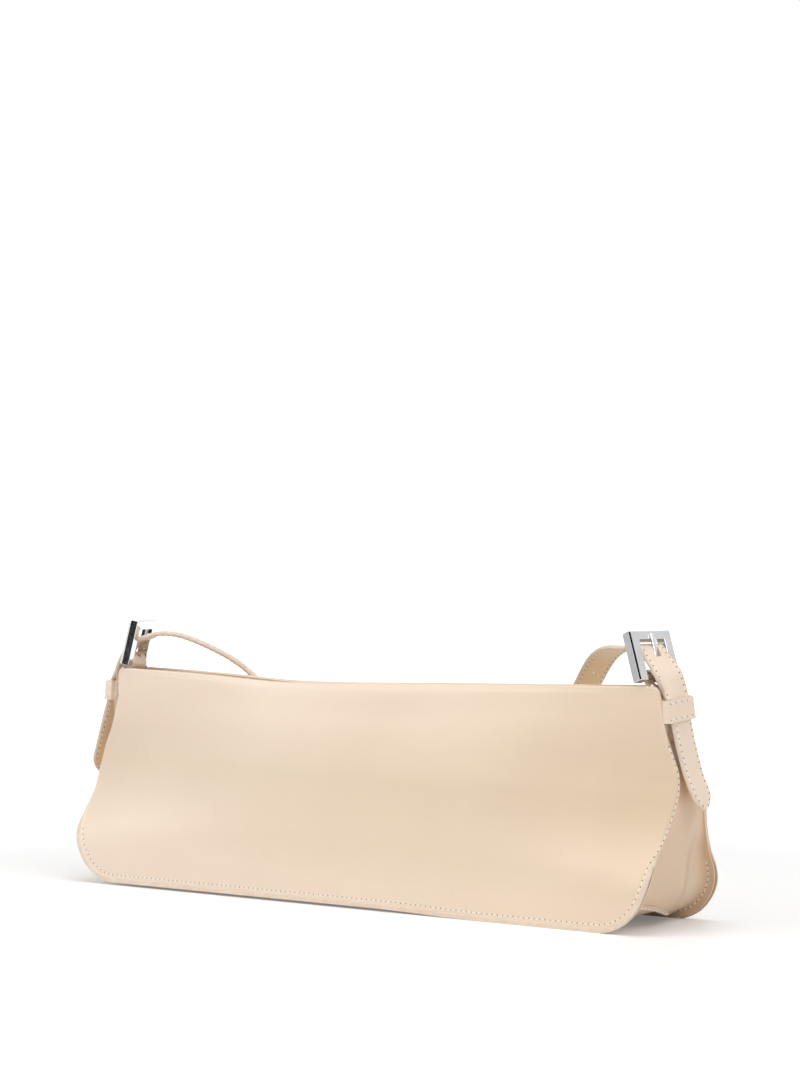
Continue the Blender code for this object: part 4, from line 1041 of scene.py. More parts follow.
def base():
    outer, inner = [], []
    for step in range(89):
        for grid, skin in ((outer, 0.0), (inner, GUSSET_LEATHER)):
            flanges = []
            for end in (-1, 1):
                place, inward, _ = base_place(end, step)
                rim_depth = end * (inside_depth(abs(place.x), place.y) - GUSSET_LEATHER + skin)
                flanges.append([Vector((spot.x, rim_depth, spot.y)) for spot in (place, place + inward * 1.6 * MM)])
            web = [base_spot(share, *base_place(share, step), skin) for share in BASE_ACROSS_SHARES]
            grid.append([settle(spot) for spot in flanges[0] + web + list(reversed(flanges[1]))])
    mesh = sheet_mesh("base_leather", outer, inner)
    laps = []
    for side in (1, -1):
        run = []
        for number in range(25):
            share = -0.9 + 1.8 * number / 24
            angle = lap_angle(share) + LAP_WIDTH * 0.55 / CORNER_RADIUS
            spoke = Vector((math.cos(angle), -math.sin(angle)))
            place = Vector((corner_centre(), CORNER_RADIUS)) + spoke * CORNER_RADIUS
            spot = base_spot(share, place, -spoke, LAP_WIDTH * 0.55)
            run.append((settle(Vector((side * spot.x, spot.y, spot.z))), Vector((side * spoke.x, 0.0, spoke.y))))
        laps.append(run)
    stitches("base_stitches", laps, "bag")
    # The base's leather is the painted-shade copy of the cream calf.
    return finish_piece("base_leather", mesh, (SHADED_GUSSET_CALF, PAINT, FLESH), "bag", ["base_panel"],
                        bevel=0.15 * MM)


# Strips of leather --------------------------------------------------------------------------------------
def section(width, thickness):
    """A strip's cross-section as (across, up, rim): rounded painted edges and sunk stitch lines."""
    half, high = width / 2, thickness / 2
    inset = min(STRAP_STITCH_INSET, half * 0.5)
    curl = min(0.3 * MM, thickness * 0.18)
    top = [(-half + 0.55 * curl, high - 2.2 * curl), (-half + 1.6 * curl, high - 0.75 * curl),
           (-half + 3.0 * curl, high - 0.2 * curl), (-half + inset * 0.8, high),
           (-half + inset, high - 0.12 * MM), (-half + inset * 1.2, high),
           (-half + inset * 1.8, high + 0.02 * MM), (-half * 0.35, high + 0.04 * MM)]
    top += [(-across, up) for across, up in reversed(top)]
    right_edge, left_edge = [(half, 0.25 * high), (half, -0.25 * high)], [(-half, -0.25 * high), (-half, 0.25 * high)]
    foot = [(across, -up) for across, up in reversed(top)]
    return top + right_edge + foot + left_edge


def section_rims(count):
    rims = [0] * count
    for index in (0, 1, 13, 14, 15, 16, 17, 18, 19, 31, 32, 33, 34, 35):
        rims[index] = 1
    return rims


def strip_frames(line, sides):
    frames, last = [], len(line) - 1
    for index, place in enumerate(line):
        ahead = (line[min(index + 1, last)] - line[max(index - 1, 0)]).normalized()
        side = (sides[index] - ahead * sides[index].dot(ahead)).normalized()
        frames.append((place, side, ahead.cross(side), ahead))
    return frames


def strip(name, line, sides, widths, thickness, reverse=0):
    """A strip with painted edges. Its reverse, where one is named by its side of the line, is material 2."""
    rings = []
    for (place, side, normal, _), width in zip(strip_frames(line, sides), widths):
        rings.append([place + side * across + normal * up for across, up in section(width, thickness)])
    rims = section_rims(len(rings[0]))
    for index in {1: range(20, 31), -1: range(2, 13)}.get(reverse, ()):
        rims[index] = 2
    return loft_mesh(name, rings, rims)


def edge_runs(line, sides, widths, thickness, inset=STRAP_STITCH_INSET, faces=(1, -1)):
    """Stitch rows along both edges of a strip, and on both of its faces."""
    frames = strip_frames(line, sides)
    runs = []
    for face in faces:
        for edge in (1, -1):
            run = []
            for (place, side, normal, _), width in zip(frames, widths):
                across = max(width / 2 - inset, 0.0)
                run.append((place + side * edge * across + normal * face * thickness / 2, normal * face))
            runs.append(run)
    return runs


def yaw_side(end, turn):
    """The width's direction of a strip turned so that its far side points outwards."""
    return Vector((end["side"] * math.sin(turn), math.cos(turn), 0.0))


def buckle_matrix(end):
    """Local axes at the pin: across the bag, up the frame, and outwards."""
    flat = Vector((end["side"] * math.cos(BUCKLE_YAW), -math.sin(BUCKLE_YAW), 0.0))
    lift = Vector((0.0, 0.0, 1.0))
    up = lift * math.cos(end["lean"]) - flat * math.sin(end["lean"])
    outward = flat * math.cos(end["lean"]) + lift * math.sin(end["lean"])
    across = up.cross(outward)
    turn = Matrix((across, up, outward)).transposed().to_4x4()
    return Matrix.Translation((end["side"] * end["pin_out"], 0.0, PIN_HEIGHT)) @ turn


def cylinder_mesh(name, centre, direction, radius, length, sides=32):
    work = bmesh.new()
    bmesh.ops.create_cone(work, cap_ends=True, segments=sides, radius1=radius, radius2=radius, depth=length)
    turn = direction.to_track_quat("Z", "Y").to_matrix().to_4x4()
    bmesh.ops.transform(work, matrix=Matrix.Translation(centre) @ turn, verts=work.verts)
    mesh = bpy.data.meshes.new(name)
    work.to_mesh(mesh)
    work.free()
    return mesh


def cut(target, tools):
    """Takes the tools' meshes out of a piece and keeps the result as its mesh."""
    made = []
    for number, mesh in enumerate(tools):
        for kind in target.data.materials:
            mesh.materials.append(kind)
        for face in mesh.polygons:
            face.material_index = 1
        tool = bpy.data.objects.new("cut_{}".format(number), mesh)
        bpy.context.collection.objects.link(tool)
        step = target.modifiers.new("cut", "BOOLEAN")
        step.operation, step.solver, step.object = "DIFFERENCE", "EXACT", tool
        made.append(tool)
    bpy.context.view_layer.update()
    result = bpy.data.meshes.new_from_object(target.evaluated_get(bpy.context.evaluated_depsgraph_get()))
    for tool in made:
        bpy.data.objects.remove(tool, do_unlink=True)
    target.modifiers.clear()
    target.data = result
    return target


def prong_line(steps=18):
    """The prong's middle line, up the frame and outwards: round the pin, then up to the frame's top bar."""
    bend = PIN_RADIUS + FIT + PRONG_THICKNESS / 2
    wrap = math.radians(210.0)
    angles = [-wrap * (1 - step / steps) for step in range(steps + 1)]
    line = [Vector((bend * math.sin(angle), bend * math.cos(angle))) for angle in angles]
    tip_up = FRAME_HEIGHT - FRAME_BELOW_PIN - PRONG_TIP_BELOW_FRAME_TOP
    tip_out = FRAME_THICKNESS / 2 + FIT + PRONG_THICKNESS / 2
    shares = [(step + 1) / 12 for step in range(12)]
    return line + [Vector((tip_up * share, bend + (tip_out - bend) * share)) for share in shares]


def prong_room(end):
    low, high = prong_line()[-8], prong_line()[-1]
    wide, thick = PRONG_WIDTH / 2 + 0.3 * MM, PRONG_THICKNESS / 2 + 0.3 * MM
    work = bmesh.new()
    rings = []
    for spot in (low, high):
        ring = []
        for step in range(20):
            angle = math.tau * step / 20
            ring.append(work.verts.new((wide * math.cos(angle), spot.x, spot.y + 0.95 * MM
                                        + (thick + 0.95 * MM) * math.sin(angle))))
        rings.append(ring)
    for step in range(20):
        after = (step + 1) % 20
        work.faces.new([rings[0][step], rings[0][after], rings[1][after], rings[1][step]])
    work.faces.new(rings[0])
    work.faces.new(rings[1])
    bmesh.ops.recalc_face_normals(work, faces=work.faces)
    mesh = bpy.data.meshes.new("prong_room")
    work.to_mesh(mesh)
    work.free()
    mesh.transform(buckle_matrix(end))
    return mesh


def strap_half(name, end, nodes):
    """Half of the strap: from the middle of its hanging span, through the buckle, to its pointed tip."""
    side = end["side"]
    route = [Vector((side * out, back, height, turn / 57.3)) * MM for out, back, height, turn in end["strap"]]
    traced = curve_through(route, 1.5 * MM)
    line = [Vector((spot.x, spot.y, max(spot.z, STRAP_THICKNESS / 2 + FIT))) for spot in traced]
    sides = [yaw_side(end, spot.w / MM) for spot in traced]
    widths, to_tip = [], 0.0
    for index in range(len(line) - 1, -1, -1):
        share = min(to_tip / STRAP_TIP_LENGTH, 1.0)
        point = (share * (2 - share)) ** 0.92
        widths.insert(0, STRAP_WIDTH * (STRAP_TIP_BLUNT_SHARE + (1 - STRAP_TIP_BLUNT_SHARE) * point))
        if index:
            to_tip += (line[index] - line[index - 1]).length
    mesh = strip(name, line, sides, widths, STRAP_THICKNESS, reverse=side)
    made = finish_piece(name, mesh, (STRAP_CALF, PAINT, STRAP_BACK), None)
    tools = [prong_room(end)]
    frames = strip_frames(line, sides)
    for out in SPAN_HOLES_AT:
        if out * side > 0:
            place, _, normal, _ = min((item for item in frames if item[0].z > 0.09),
                                      key=lambda item: abs(item[0].x - out * MM) + 0.0)
            tools.append(cylinder_mesh("hole", place, normal, STRAP_HOLE_RADIUS, 3 * STRAP_THICKNESS, 24))
    cut(made, tools)
    made.data.set_sharp_from_angle(angle=math.radians(38.0))
    sewn = stitches(name + "_stitches", edge_runs(line, sides, widths, STRAP_THICKNESS), None)
    for piece in (made, sewn):
        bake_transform(piece)
    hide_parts(*nodes)
    return made


def chape(name, end, node):
    """Runs up the gusset's middle, round the buckle's pin and down again, with a slit for the prong."""
    side = end["side"]
    loop = PIN_RADIUS + FIT + CHAPE_LEATHER / 2
    arc = [(end["pin_out"] / MM + loop / MM * math.cos(math.radians(angle)),
            PIN_HEIGHT / MM + loop / MM * math.sin(math.radians(angle))) for angle in end["chape_arc"]]
    places = [Vector((out, 0.0, height)) * MM for out, height in end["chape_up"] + tuple(arc) + end["chape_down"]]
    line = [Vector((side * place.x, place.y, place.z)) for place in curve_through(places, 0.8 * MM)]
    sides = [yaw_side(end, math.radians(smooth_value(end["chape_yaw"], place.z / MM))) for place in line]
    widths = [CHAPE_WIDTH + CHAPE_FOOT_EXTRA * (1 - ease(place.z, 109 * MM, 113 * MM))
              - 1.6 * MM * (1 - ease(place.z, 97 * MM, 99 * MM)) + end["chape_extra"] * ease(place.z, 120 * MM, 127 * MM)
              for place in line]
    mesh = strip(name, line, sides, widths, CHAPE_LEATHER)
    made = finish_piece(name, mesh, (STRAP_CALF, PAINT), "bag", [node])
    slit = PRONG_WIDTH / 2 + 0.15 * MM
    reach = loop + CHAPE_LEATHER
    work = bmesh.new()
    bmesh.ops.create_cube(work, size=1.0)
    bmesh.ops.scale(work, vec=(2 * slit, 2 * reach, 2 * reach), verts=work.verts)
    bmesh.ops.transform(work, matrix=buckle_matrix(end), verts=work.verts)
    tool = bpy.data.meshes.new("slit")
    work.to_mesh(tool)
    work.free()
    cut(made, [tool])
    made.data.set_sharp_from_angle(angle=math.radians(38.0))
    count = next(index for index, place in enumerate(line) if place.z > 122 * MM)
    runs = edge_runs(line[:count], sides[:count], widths[:count], CHAPE_LEATHER, faces=(1, -1))
    outward = [run for run in runs if run[0][1].x * side > 0]
    foot = [line[4].lerp(line[4], 0.0)]
    across = [(foot[0] + sides[4] * CHAPE_WIDTH * share + Vector((side * CHAPE_LEATHER / 2, 0.0, 0.0)),
               Vector((side, 0.0, 0.0))) for share in (-0.37, 0.0, 0.37)]
    stitches(name + "_stitches", outward + [across], "bag")
    return made


def keeper_outline(end, skin=0.0):
    front = end["keeper_out"]
    back = front - KEEPER_DEPTH
    wide = STRAP_WIDTH / 2 + 2 * SOFT_FIT + KEEPER_LEATHER + end["keeper_extra"]
    narrow = KEEPER_NECK_HALF_WIDTH
    neck = front - KEEPER_SHOULDER_DEPTH
    corners = [(back, narrow, 1.0), (neck - 0.2 * MM, narrow, 0.5), (neck + 0.6 * MM, wide, 0.6), (front, wide, 1.5)]
    corners += [(out, -y, curl) for out, y, curl in reversed(corners)]
    path = []
    for index, (out, y, curl) in enumerate(corners):
        spot = Vector((out, y))
        before = Vector(corners[index - 1][:2]) - spot
        after = Vector(corners[(index + 1) % len(corners)][:2]) - spot
        reach = min(curl * MM, before.length * 0.45, after.length * 0.45)
        one, two = spot + before.normalized() * reach, spot + after.normalized() * reach
        for step in range(6):
            t = step / 5
            path.append(one * (1 - t) ** 2 + spot * 2 * t * (1 - t) + two * t * t)
        ahead = spot + after.normalized() * reach
        stop = spot + after * 1.0 - after.normalized() * min(
            corners[(index + 1) % len(corners)][2] * MM, after.length * 0.45)
        for step in range(1, 4):
            path.append(ahead.lerp(stop, step / 4))
    return path, back


def keeper(name, end, node):
    """A loop sewn by its back to the chape. It widens past the panels' edges to take the strap's tail."""
    path, back = keeper_outline(end)
    count = len(path)
    turn_at = back + KEEPER_DEPTH / 2
    c, s = math.cos(end["keeper_yaw"]), math.sin(end["keeper_yaw"])
    levels = [-5.8, -5.5, -4.9, -4.3, -4.0, -3.7, -2.0, 0.0, 2.0, 3.7, 4.0, 4.3, 4.9, 5.5, 5.8]
    outer, inner, runs = [], [], ([], [])
    for index, spot in enumerate(path):
        way = path[(index + 1) % count] - path[index - 1]
        inward = Vector((way.y, -way.x)).normalized()
        if inward.dot(Vector((back + KEEPER_DEPTH / 2, 0.0)) - spot) < 0:
            inward.negate()
        rows = ([], [])
        for level in levels:
            level *= MM
            sunk = 0.1 * MM if abs(abs(level) - 4.0 * MM) < 0.1 * MM else 0.0
            lean = level * math.tan(end["keeper_lean"])
            for row, depth in zip(rows, (sunk, KEEPER_LEATHER)):
                out = spot.x + inward.x * depth - lean - turn_at
                y = spot.y + inward.y * depth
                row.append(Vector((end["side"] * (turn_at + out * c + y * s), y * c - out * s,
                                   end["keeper_height"] + level + y * end["keeper_tilt"])))
        outer.append(rows[0])
        inner.append(rows[1])
        normal = Vector((-end["side"] * (inward.x * c + inward.y * s), inward.x * s - inward.y * c, 0.0))
        runs[0].append((rows[0][4], normal))
        runs[1].append((rows[0][10], normal))
    points = [point for grid in (outer, inner) for row in grid for point in row]
    half, wide = count * len(levels), len(levels)
    faces, kinds = [], []
    for row in range(count):
        after = (row + 1) % count
        for column in range(wide - 1):
            for layer in (0, 1):
                faces.append([layer * half + row * wide + column, layer * half + after * wide + column,
                              layer * half + after * wide + column + 1, layer * half + row * wide + column + 1])
                kinds.append(0)
        for column in (0, wide - 1):
            faces.append([row * wide + column, after * wide + column,
                          half + after * wide + column, half + row * wide + column])
            kinds.append(1)
    mesh = build_mesh(name, points, faces, kinds)
    made = finish_piece(name, mesh, (STRAP_CALF, PAINT), "bag", [node], bevel=0.22 * MM)
    shown = [[pair for pair in run if pair[0].x * end["side"] > back + 2.2 * MM] for run in runs]
    turned = []
    for run in shown:
        cut_at = max(range(len(run)), key=lambda i: (run[i][0] - run[i - 1][0]).length)
        turned.append(run[cut_at:] + run[:cut_at])
    stitches(name + "_stitches", turned, "bag", pitch=4.4 * MM, radius=0.5 * MM, slant=0.5 * MM)
    return made


# Buckles ------------------------------------------------------------------------------------------------
def buckle_frame(name, end, node):
    """A square frame with square window edges and a broad chamfer round the outside of its front face."""
    half = FRAME_WIDTH / 2
    inner = half - FRAME_SIDE
    foot, head = -FRAME_BELOW_PIN, FRAME_HEIGHT - FRAME_BELOW_PIN
    back, front = -end["frame_back"], FRAME_FRONT
    outline = [(-half, foot), (-inner, foot), (-inner, head - FRAME_TOP), (inner, head - FRAME_TOP),
               (inner, foot), (half, foot), (half, head), (-half, head)]
    work = bmesh.new()
    face = work.faces.new([work.verts.new((u, v, back)) for u, v in outline])
    grown = bmesh.ops.extrude_face_region(work, geom=[face])
    moved = [item for item in grown["geom"] if isinstance(item, bmesh.types.BMVert)]
    bmesh.ops.translate(work, vec=(0.0, 0.0, front - back), verts=moved)
    bmesh.ops.recalc_face_normals(work, faces=work.faces)

    def outside(vert):
        return abs(abs(vert.co.x) - half) < 1e-6

    broad = [edge for edge in work.edges
             if all(outside(vert) and vert.co.z > 0 for vert in edge.verts)]
    bmesh.ops.bevel(work, geom=broad, offset=end["frame_chamfer"], segments=1, affect="EDGES")
    bmesh.ops.bevel(work, geom=list(work.edges), offset=0.22 * MM, segments=2, profile=0.6, affect="EDGES",
                    clamp_overlap=True)
    mesh = bpy.data.meshes.new(name)
    work.to_mesh(mesh)
    work.free()
    made = finish_piece(name, mesh, (STEEL, STEEL), "bag", [node])
    cut(made, [cylinder_mesh("pin_seat", Vector((0.0, 0.0, 0.0)), Vector((1.0, 0.0, 0.0)), PIN_RADIUS + 0.12 * MM,
                             2 * (inner + PIN_SEAT))])
    made.data.shade_smooth()
    made.data.set_sharp_from_angle(angle=math.radians(8.0))
    made.data.transform(buckle_matrix(end))
    return made


def pivot_bar(name, end, node):
    length = 2 * (FRAME_WIDTH / 2 - FRAME_SIDE + PIN_SEAT - FIT)
    mesh = cylinder_mesh(name, Vector((0.0, 0.0, 0.0)), Vector((1.0, 0.0, 0.0)), PIN_RADIUS, length)
    mesh.transform(buckle_matrix(end))
    return finish_piece(name, mesh, (STEEL,), "bag", [node], bevel=0.3 * MM)


def prong(name, end, node):
    line = prong_line()
    rings = []
    for index, place in enumerate(line):
        ahead = (line[min(index + 1, len(line) - 1)] - line[max(index - 1, 0)]).normalized()
        normal = Vector((-ahead.y, ahead.x))
        to_tip = (len(line) - 1 - index) / 12
        round_off = min(1.0, 0.55 + to_tip * 3.0)
        half, thick = PRONG_WIDTH / 2 * round_off, PRONG_THICKNESS / 2 * min(1.0, 0.7 + to_tip * 2)
        ring = []
        for step in range(16):
            angle = math.tau * step / 16
            c, s = math.cos(angle), math.sin(angle)
            across = half * math.copysign(abs(c) ** 0.55, c)
            up = thick * math.copysign(abs(s) ** 0.55, s)
            spot = place + normal * up
            ring.append(Vector((across, spot.x, spot.y)))
        rings.append(ring)
    mesh = loft_mesh(name, rings)
    mesh.transform(buckle_matrix(end))
    return finish_piece(name, mesh, (STEEL,), node, [node], angle=50.0)


# Zip ----------------------------------------------------------------------------------------------------
def zip_tape(name, side, node):
    reach = ZIP_HALF_LENGTH + TAPE_OVERHANG
    chain_out = CHAIN_PARTING / 2 + CHAIN_WIDTH
    outer, inner = [], []
    for step in range(121):
        x = reach * (step / 60 - 1)
        edge = half_depth(x, ZIP_HEIGHT) - PANEL_LEATHER - 0.7 * MM - FIT
        near = chain_out - 1.1 * MM
        row, under = [], []
        for share in (0.0, 0.06, 0.14, 0.3, 0.5, 0.7, 0.86, 0.94, 1.0):
            y = near + (edge - near) * share
            dip = -0.35 * MM * math.sin(math.pi * share) + 0.12 * MM * noise.noise(Vector((x * 60, y * 200, side)))
            row.append(Vector((x, side * y, ZIP_HEIGHT + 0.4 * MM + dip)))
            under.append(Vector((x, side * y, ZIP_HEIGHT - 0.4 * MM + dip)))
        outer.append(row)
        inner.append(under)
    mesh = sheet_mesh(name, outer, inner)
    return finish_piece(name, mesh, (TAPE, TAPE, TAPE), "bag", [node])


def zip_teeth(name, side, node):
    """A row of moulded teeth with a waist and a head, each clamped on the edge of its tape."""
    points, faces = [], []
    pitch = 2.0 * MM
    count = int(2 * ZIP_HALF_LENGTH / pitch)
    for number in range(count):
        x = -ZIP_HALF_LENGTH + pitch * (number + (0.25 if side < 0 else 0.75))
        near, far = CHAIN_PARTING / 2 - 0.28 * MM, CHAIN_PARTING / 2 + CHAIN_WIDTH
        first = len(points)
        for y, wide, high in ((near, 0.3, 0.75), (near + 0.35 * MM, 0.62, 1.0), (near + 0.8 * MM, 0.6, 1.15),
                              (near + 1.2 * MM, 0.4, 1.2), (far - 0.3 * MM, 0.62, 1.2), (far, 0.5, 0.9)):
            for step in range(8):
                angle = math.tau * (step + 0.5) / 8
                points.append((x + wide * MM * 1.05 * math.cos(angle), side * y,
                               ZIP_HEIGHT + high * MM * math.sin(angle)))
        for ring in range(5):
            for step in range(8):
                after = (step + 1) % 8
                low = first + ring * 8
                faces.append([low + step, low + after, low + 8 + after, low + 8 + step])
        faces += [[first + step for step in range(8)], [first + 40 + step for step in range(8)]]
    mesh = build_mesh(name, points, faces)
    return finish_piece(name, mesh, (STEEL,), "bag", [node])


def rounded_box(work, low, high, bevel):
    made = bmesh.ops.create_cube(work, size=1.0)["verts"]
    size = [b - a for a, b in zip(low, high)]
    centre = [(a + b) / 2 for a, b in zip(low, high)]
    bmesh.ops.scale(work, vec=size, verts=made)
    bmesh.ops.translate(work, vec=centre, verts=made)
    edges = list({edge for vert in made for edge in vert.link_edges})
    bmesh.ops.bevel(work, geom=edges, offset=bevel, segments=3, profile=0.5, affect="EDGES")


def from_boxes(name, blocks, bevel, body, node, angle=30.0):
    work = bmesh.new()
    for low, high in blocks:
        rounded_box(work, low, high, bevel)
    mesh = bpy.data.meshes.new(name)
    work.to_mesh(mesh)
    work.free()
    return finish_piece(name, mesh, (STEEL,), body, [node], angle=angle)


def zip_parts():
    chain_out = CHAIN_PARTING / 2 + CHAIN_WIDTH
    low, high = ZIP_HEIGHT - CHAIN_THICKNESS / 2, ZIP_HEIGHT + CHAIN_THICKNESS / 2
    for name, side in (("left", -1), ("right", 1)):
        along = sorted((side * (ZIP_HALF_LENGTH + FIT), side * (ZIP_HALF_LENGTH + FIT + 3.0 * MM)))
        from_boxes("zip_end_" + name, [((along[0], -chain_out, low), (along[1], chain_out, high))], 0.5 * MM, "bag",
                   "zip_stop_" + name)
    x, half, wide, plate = -152.0 * MM, 5.5 * MM, 4.5 * MM, 1.2 * MM
    face, sunk = high + FIT, low - FIT
    top = face + plate
    leg, wire, clear = 3.5 * MM, 0.6 * MM, 2.2 * MM
    outline = ((-1.0, 0.62), (-0.8, 0.9), (-0.3, 1.0), (0.2, 0.86), (0.65, 0.62), (1.0, 0.5))
    work = bmesh.new()
    for bottom, lid in ((face, top), (sunk - plate, sunk)):
        path = [(x + share * half, y * wide) for share, y in outline]
        path += [(out, -y) for out, y in reversed(path)]
        ground = work.faces.new([work.verts.new((out, y, bottom)) for out, y in path])
        grown = bmesh.ops.extrude_face_region(work, geom=[ground])["geom"]
        moved = [item for item in grown if isinstance(item, bmesh.types.BMVert)]
        bmesh.ops.translate(work, vec=(0.0, 0.0, lid - bottom), verts=moved)
        sides = {edge for vert in moved for edge in vert.link_edges}
        bmesh.ops.bevel(work, geom=list(sides), offset=0.28 * MM, segments=2, profile=0.5, affect="EDGES")
    rounded_box(work, (x - half + FIT, -0.2 * MM, sunk - FIT), (x + half - FIT, 0.2 * MM, face + FIT), 0.05 * MM)
    bail = [Vector((x - leg, 0, top - 0.2 * MM)), Vector((x - leg, 0, top + clear * 0.6)),
            Vector((x - leg * 0.6, 0, top + clear + wire)), Vector((x, 0, top + clear + wire)),
            Vector((x + leg * 0.6, 0, top + clear + wire)), Vector((x + leg, 0, top + clear * 0.6)),
            Vector((x + leg, 0, top - 0.2 * MM))]
    line = curve_through(bail, 0.5 * MM)
    rings = []
    for index, place in enumerate(line):
        ahead = (line[min(index + 1, len(line) - 1)] - line[max(index - 1, 0)]).normalized()
        normal = ahead.cross(Vector((0.0, 1.0, 0.0)))
        rings.append([work.verts.new(place + normal * wire * math.cos(math.tau * step / 12)
                                     + Vector((0.0, wire * math.sin(math.tau * step / 12), 0.0)))
                      for step in range(12)])
    for one, two in zip(rings, rings[1:]):
        for step in range(12):
            work.faces.new([one[step], one[(step + 1) % 12], two[(step + 1) % 12], two[step]])
    work.faces.new(rings[0])
    work.faces.new(rings[-1])
    bmesh.ops.recalc_face_normals(work, faces=work.faces)
    mesh = bpy.data.meshes.new("slider_body")
    work.to_mesh(mesh)
    work.free()
    finish_piece("slider_body", mesh, (STEEL,), "zip_slider", ["zip_slider"], angle=30.0)


def puller():
    """A flat pull with a rounded end and a window that hooks under the slider's bail."""
    x = -152.0 * MM
    level = ZIP_HEIGHT + CHAIN_THICKNESS / 2 + FIT + 1.2 * MM + FIT + 0.6 * MM
    bar, arm = 0.6 * MM, 1.0 * MM
    eye = 0.6 * MM + 0.5 * MM
    wide = eye + arm
    corner = Vector((3.5 * MM + 0.6 * MM, 2.2 * MM + 1.2 * MM - FIT - bar))
    reach = corner.length + 0.5 * MM
    outline = [(bar, -wide * 0.7), (bar, wide * 0.7), (bar * 0.2, wide), (-20.5 * MM, wide), (-21.5 * MM, wide * 0.75),
               (-22.0 * MM, wide * 0.3), (-22.0 * MM, -wide * 0.3), (-21.5 * MM, -wide * 0.75), (-20.5 * MM, -wide),
               (bar * 0.2, -wide)]
    work = bmesh.new()
    ground = work.faces.new([work.verts.new((u, v, -bar)) for u, v in outline])
    grown = bmesh.ops.extrude_face_region(work, geom=[ground])["geom"]
    moved = [item for item in grown if isinstance(item, bmesh.types.BMVert)]
    bmesh.ops.translate(work, vec=(0.0, 0.0, 2 * bar), verts=moved)
    bmesh.ops.recalc_face_normals(work, faces=work.faces)
    bmesh.ops.bevel(work, geom=list(work.edges), offset=0.2 * MM, segments=2, profile=0.5, affect="EDGES")
    mesh = bpy.data.meshes.new("pull_tab")
    work.to_mesh(mesh)
    work.free()
    made = finish_piece("pull_tab", mesh, (STEEL, STEEL), "zip_puller", ["zip_puller"])
    work = bmesh.new()
    bmesh.ops.create_cube(work, size=1.0)
    bmesh.ops.scale(work, vec=(reach - bar, 2 * eye, 6 * bar), verts=work.verts)
    bmesh.ops.translate(work, vec=(-(reach + bar) / 2, 0.0, 0.0), verts=work.verts)
    edges = [edge for edge in work.edges if abs(edge.verts[0].co.z - edge.verts[1].co.z) > bar]
    bmesh.ops.bevel(work, geom=edges, offset=0.5 * MM, segments=3, profile=0.5, affect="EDGES")
    tool = bpy.data.meshes.new("pull_eye")
    work.to_mesh(tool)
    work.free()
    cut(made, [tool])
    made.data.shade_smooth()
    made.data.set_sharp_from_angle(angle=math.radians(28.0))
    made.data.transform(Matrix.Translation((x, 0.0, level)))
    return made


# Inside -------------------------------------------------------------------------------------------------
BOARD_LEVEL = BASE_LIFT + GUSSET_LEATHER + FIT
BOARD_THICKNESS = 1.5 * MM
LINING_CLOTH = 0.8 * MM
LINING_SKIN = 1.6 * MM


def lining_depth(out, height):
    wall = PANEL_LEATHER + (0.7 * MM if height >= 0.93 * BAG_HEIGHT else 0.0)
    return half_depth(out, height) - wall - FIT - LINING_SKIN


def lining_out(height):
    drop = max(CORNER_RADIUS - height, 0.0)
    shares = ((0.0, 0.76), (0.5, 0.76), (0.72, 1.0), (1.0, 1.0))
    foot = height >= GUSSET_FOOT_SHARE * BAG_HEIGHT
    sunk = FLANGE * smooth_value(shares, height / BAG_HEIGHT) if foot else BASE_LIFT
    reach = CORNER_RADIUS - sunk - LINING_SKIN
    return side_length(height) - CORNER_RADIUS + math.sqrt(max(reach ** 2 - drop ** 2, 0.0))


def lining():
    """The cloth bag inside the leather one, with soft creases."""
    floor = BOARD_LEVEL + BOARD_THICKNESS + FIT
    top = ZIP_HEIGHT - CHAIN_THICKNESS / 2 - FIT - 1.2 * MM - FIT
    heights = [floor + (top - floor) * step / 36 for step in range(37)]
    shares = [math.sin(math.pi / 2 * (step / 40 - 1)) for step in range(81)]

    def ring(height, level, skin):
        reach = lining_out(height) - skin
        line = []
        for side in (-1, 1):
            part = []
            for share in shares:
                x = share * reach
                fold = noise.noise(Vector((x * 34, height * 17, side * 5.0))) * 0.55 * MM
                depth = max(lining_depth(x, height) - skin - 0.55 * MM - fold, 0.6 * MM)
                part.append(settle(Vector((x, side * depth, level))))
            line += part if side < 0 else list(reversed(part))
        return line

    rings = [ring(height, height, 0.0) for height in heights]
    rings += [ring(height, height, LINING_CLOTH) for height in reversed(heights[1:])]
    rings.append(ring(floor, floor + LINING_CLOTH, LINING_CLOTH))
    mesh = loft_mesh("lining_cloth", rings)
    return finish_piece("lining_cloth", mesh, (LINING,), "bag", ["lining"])


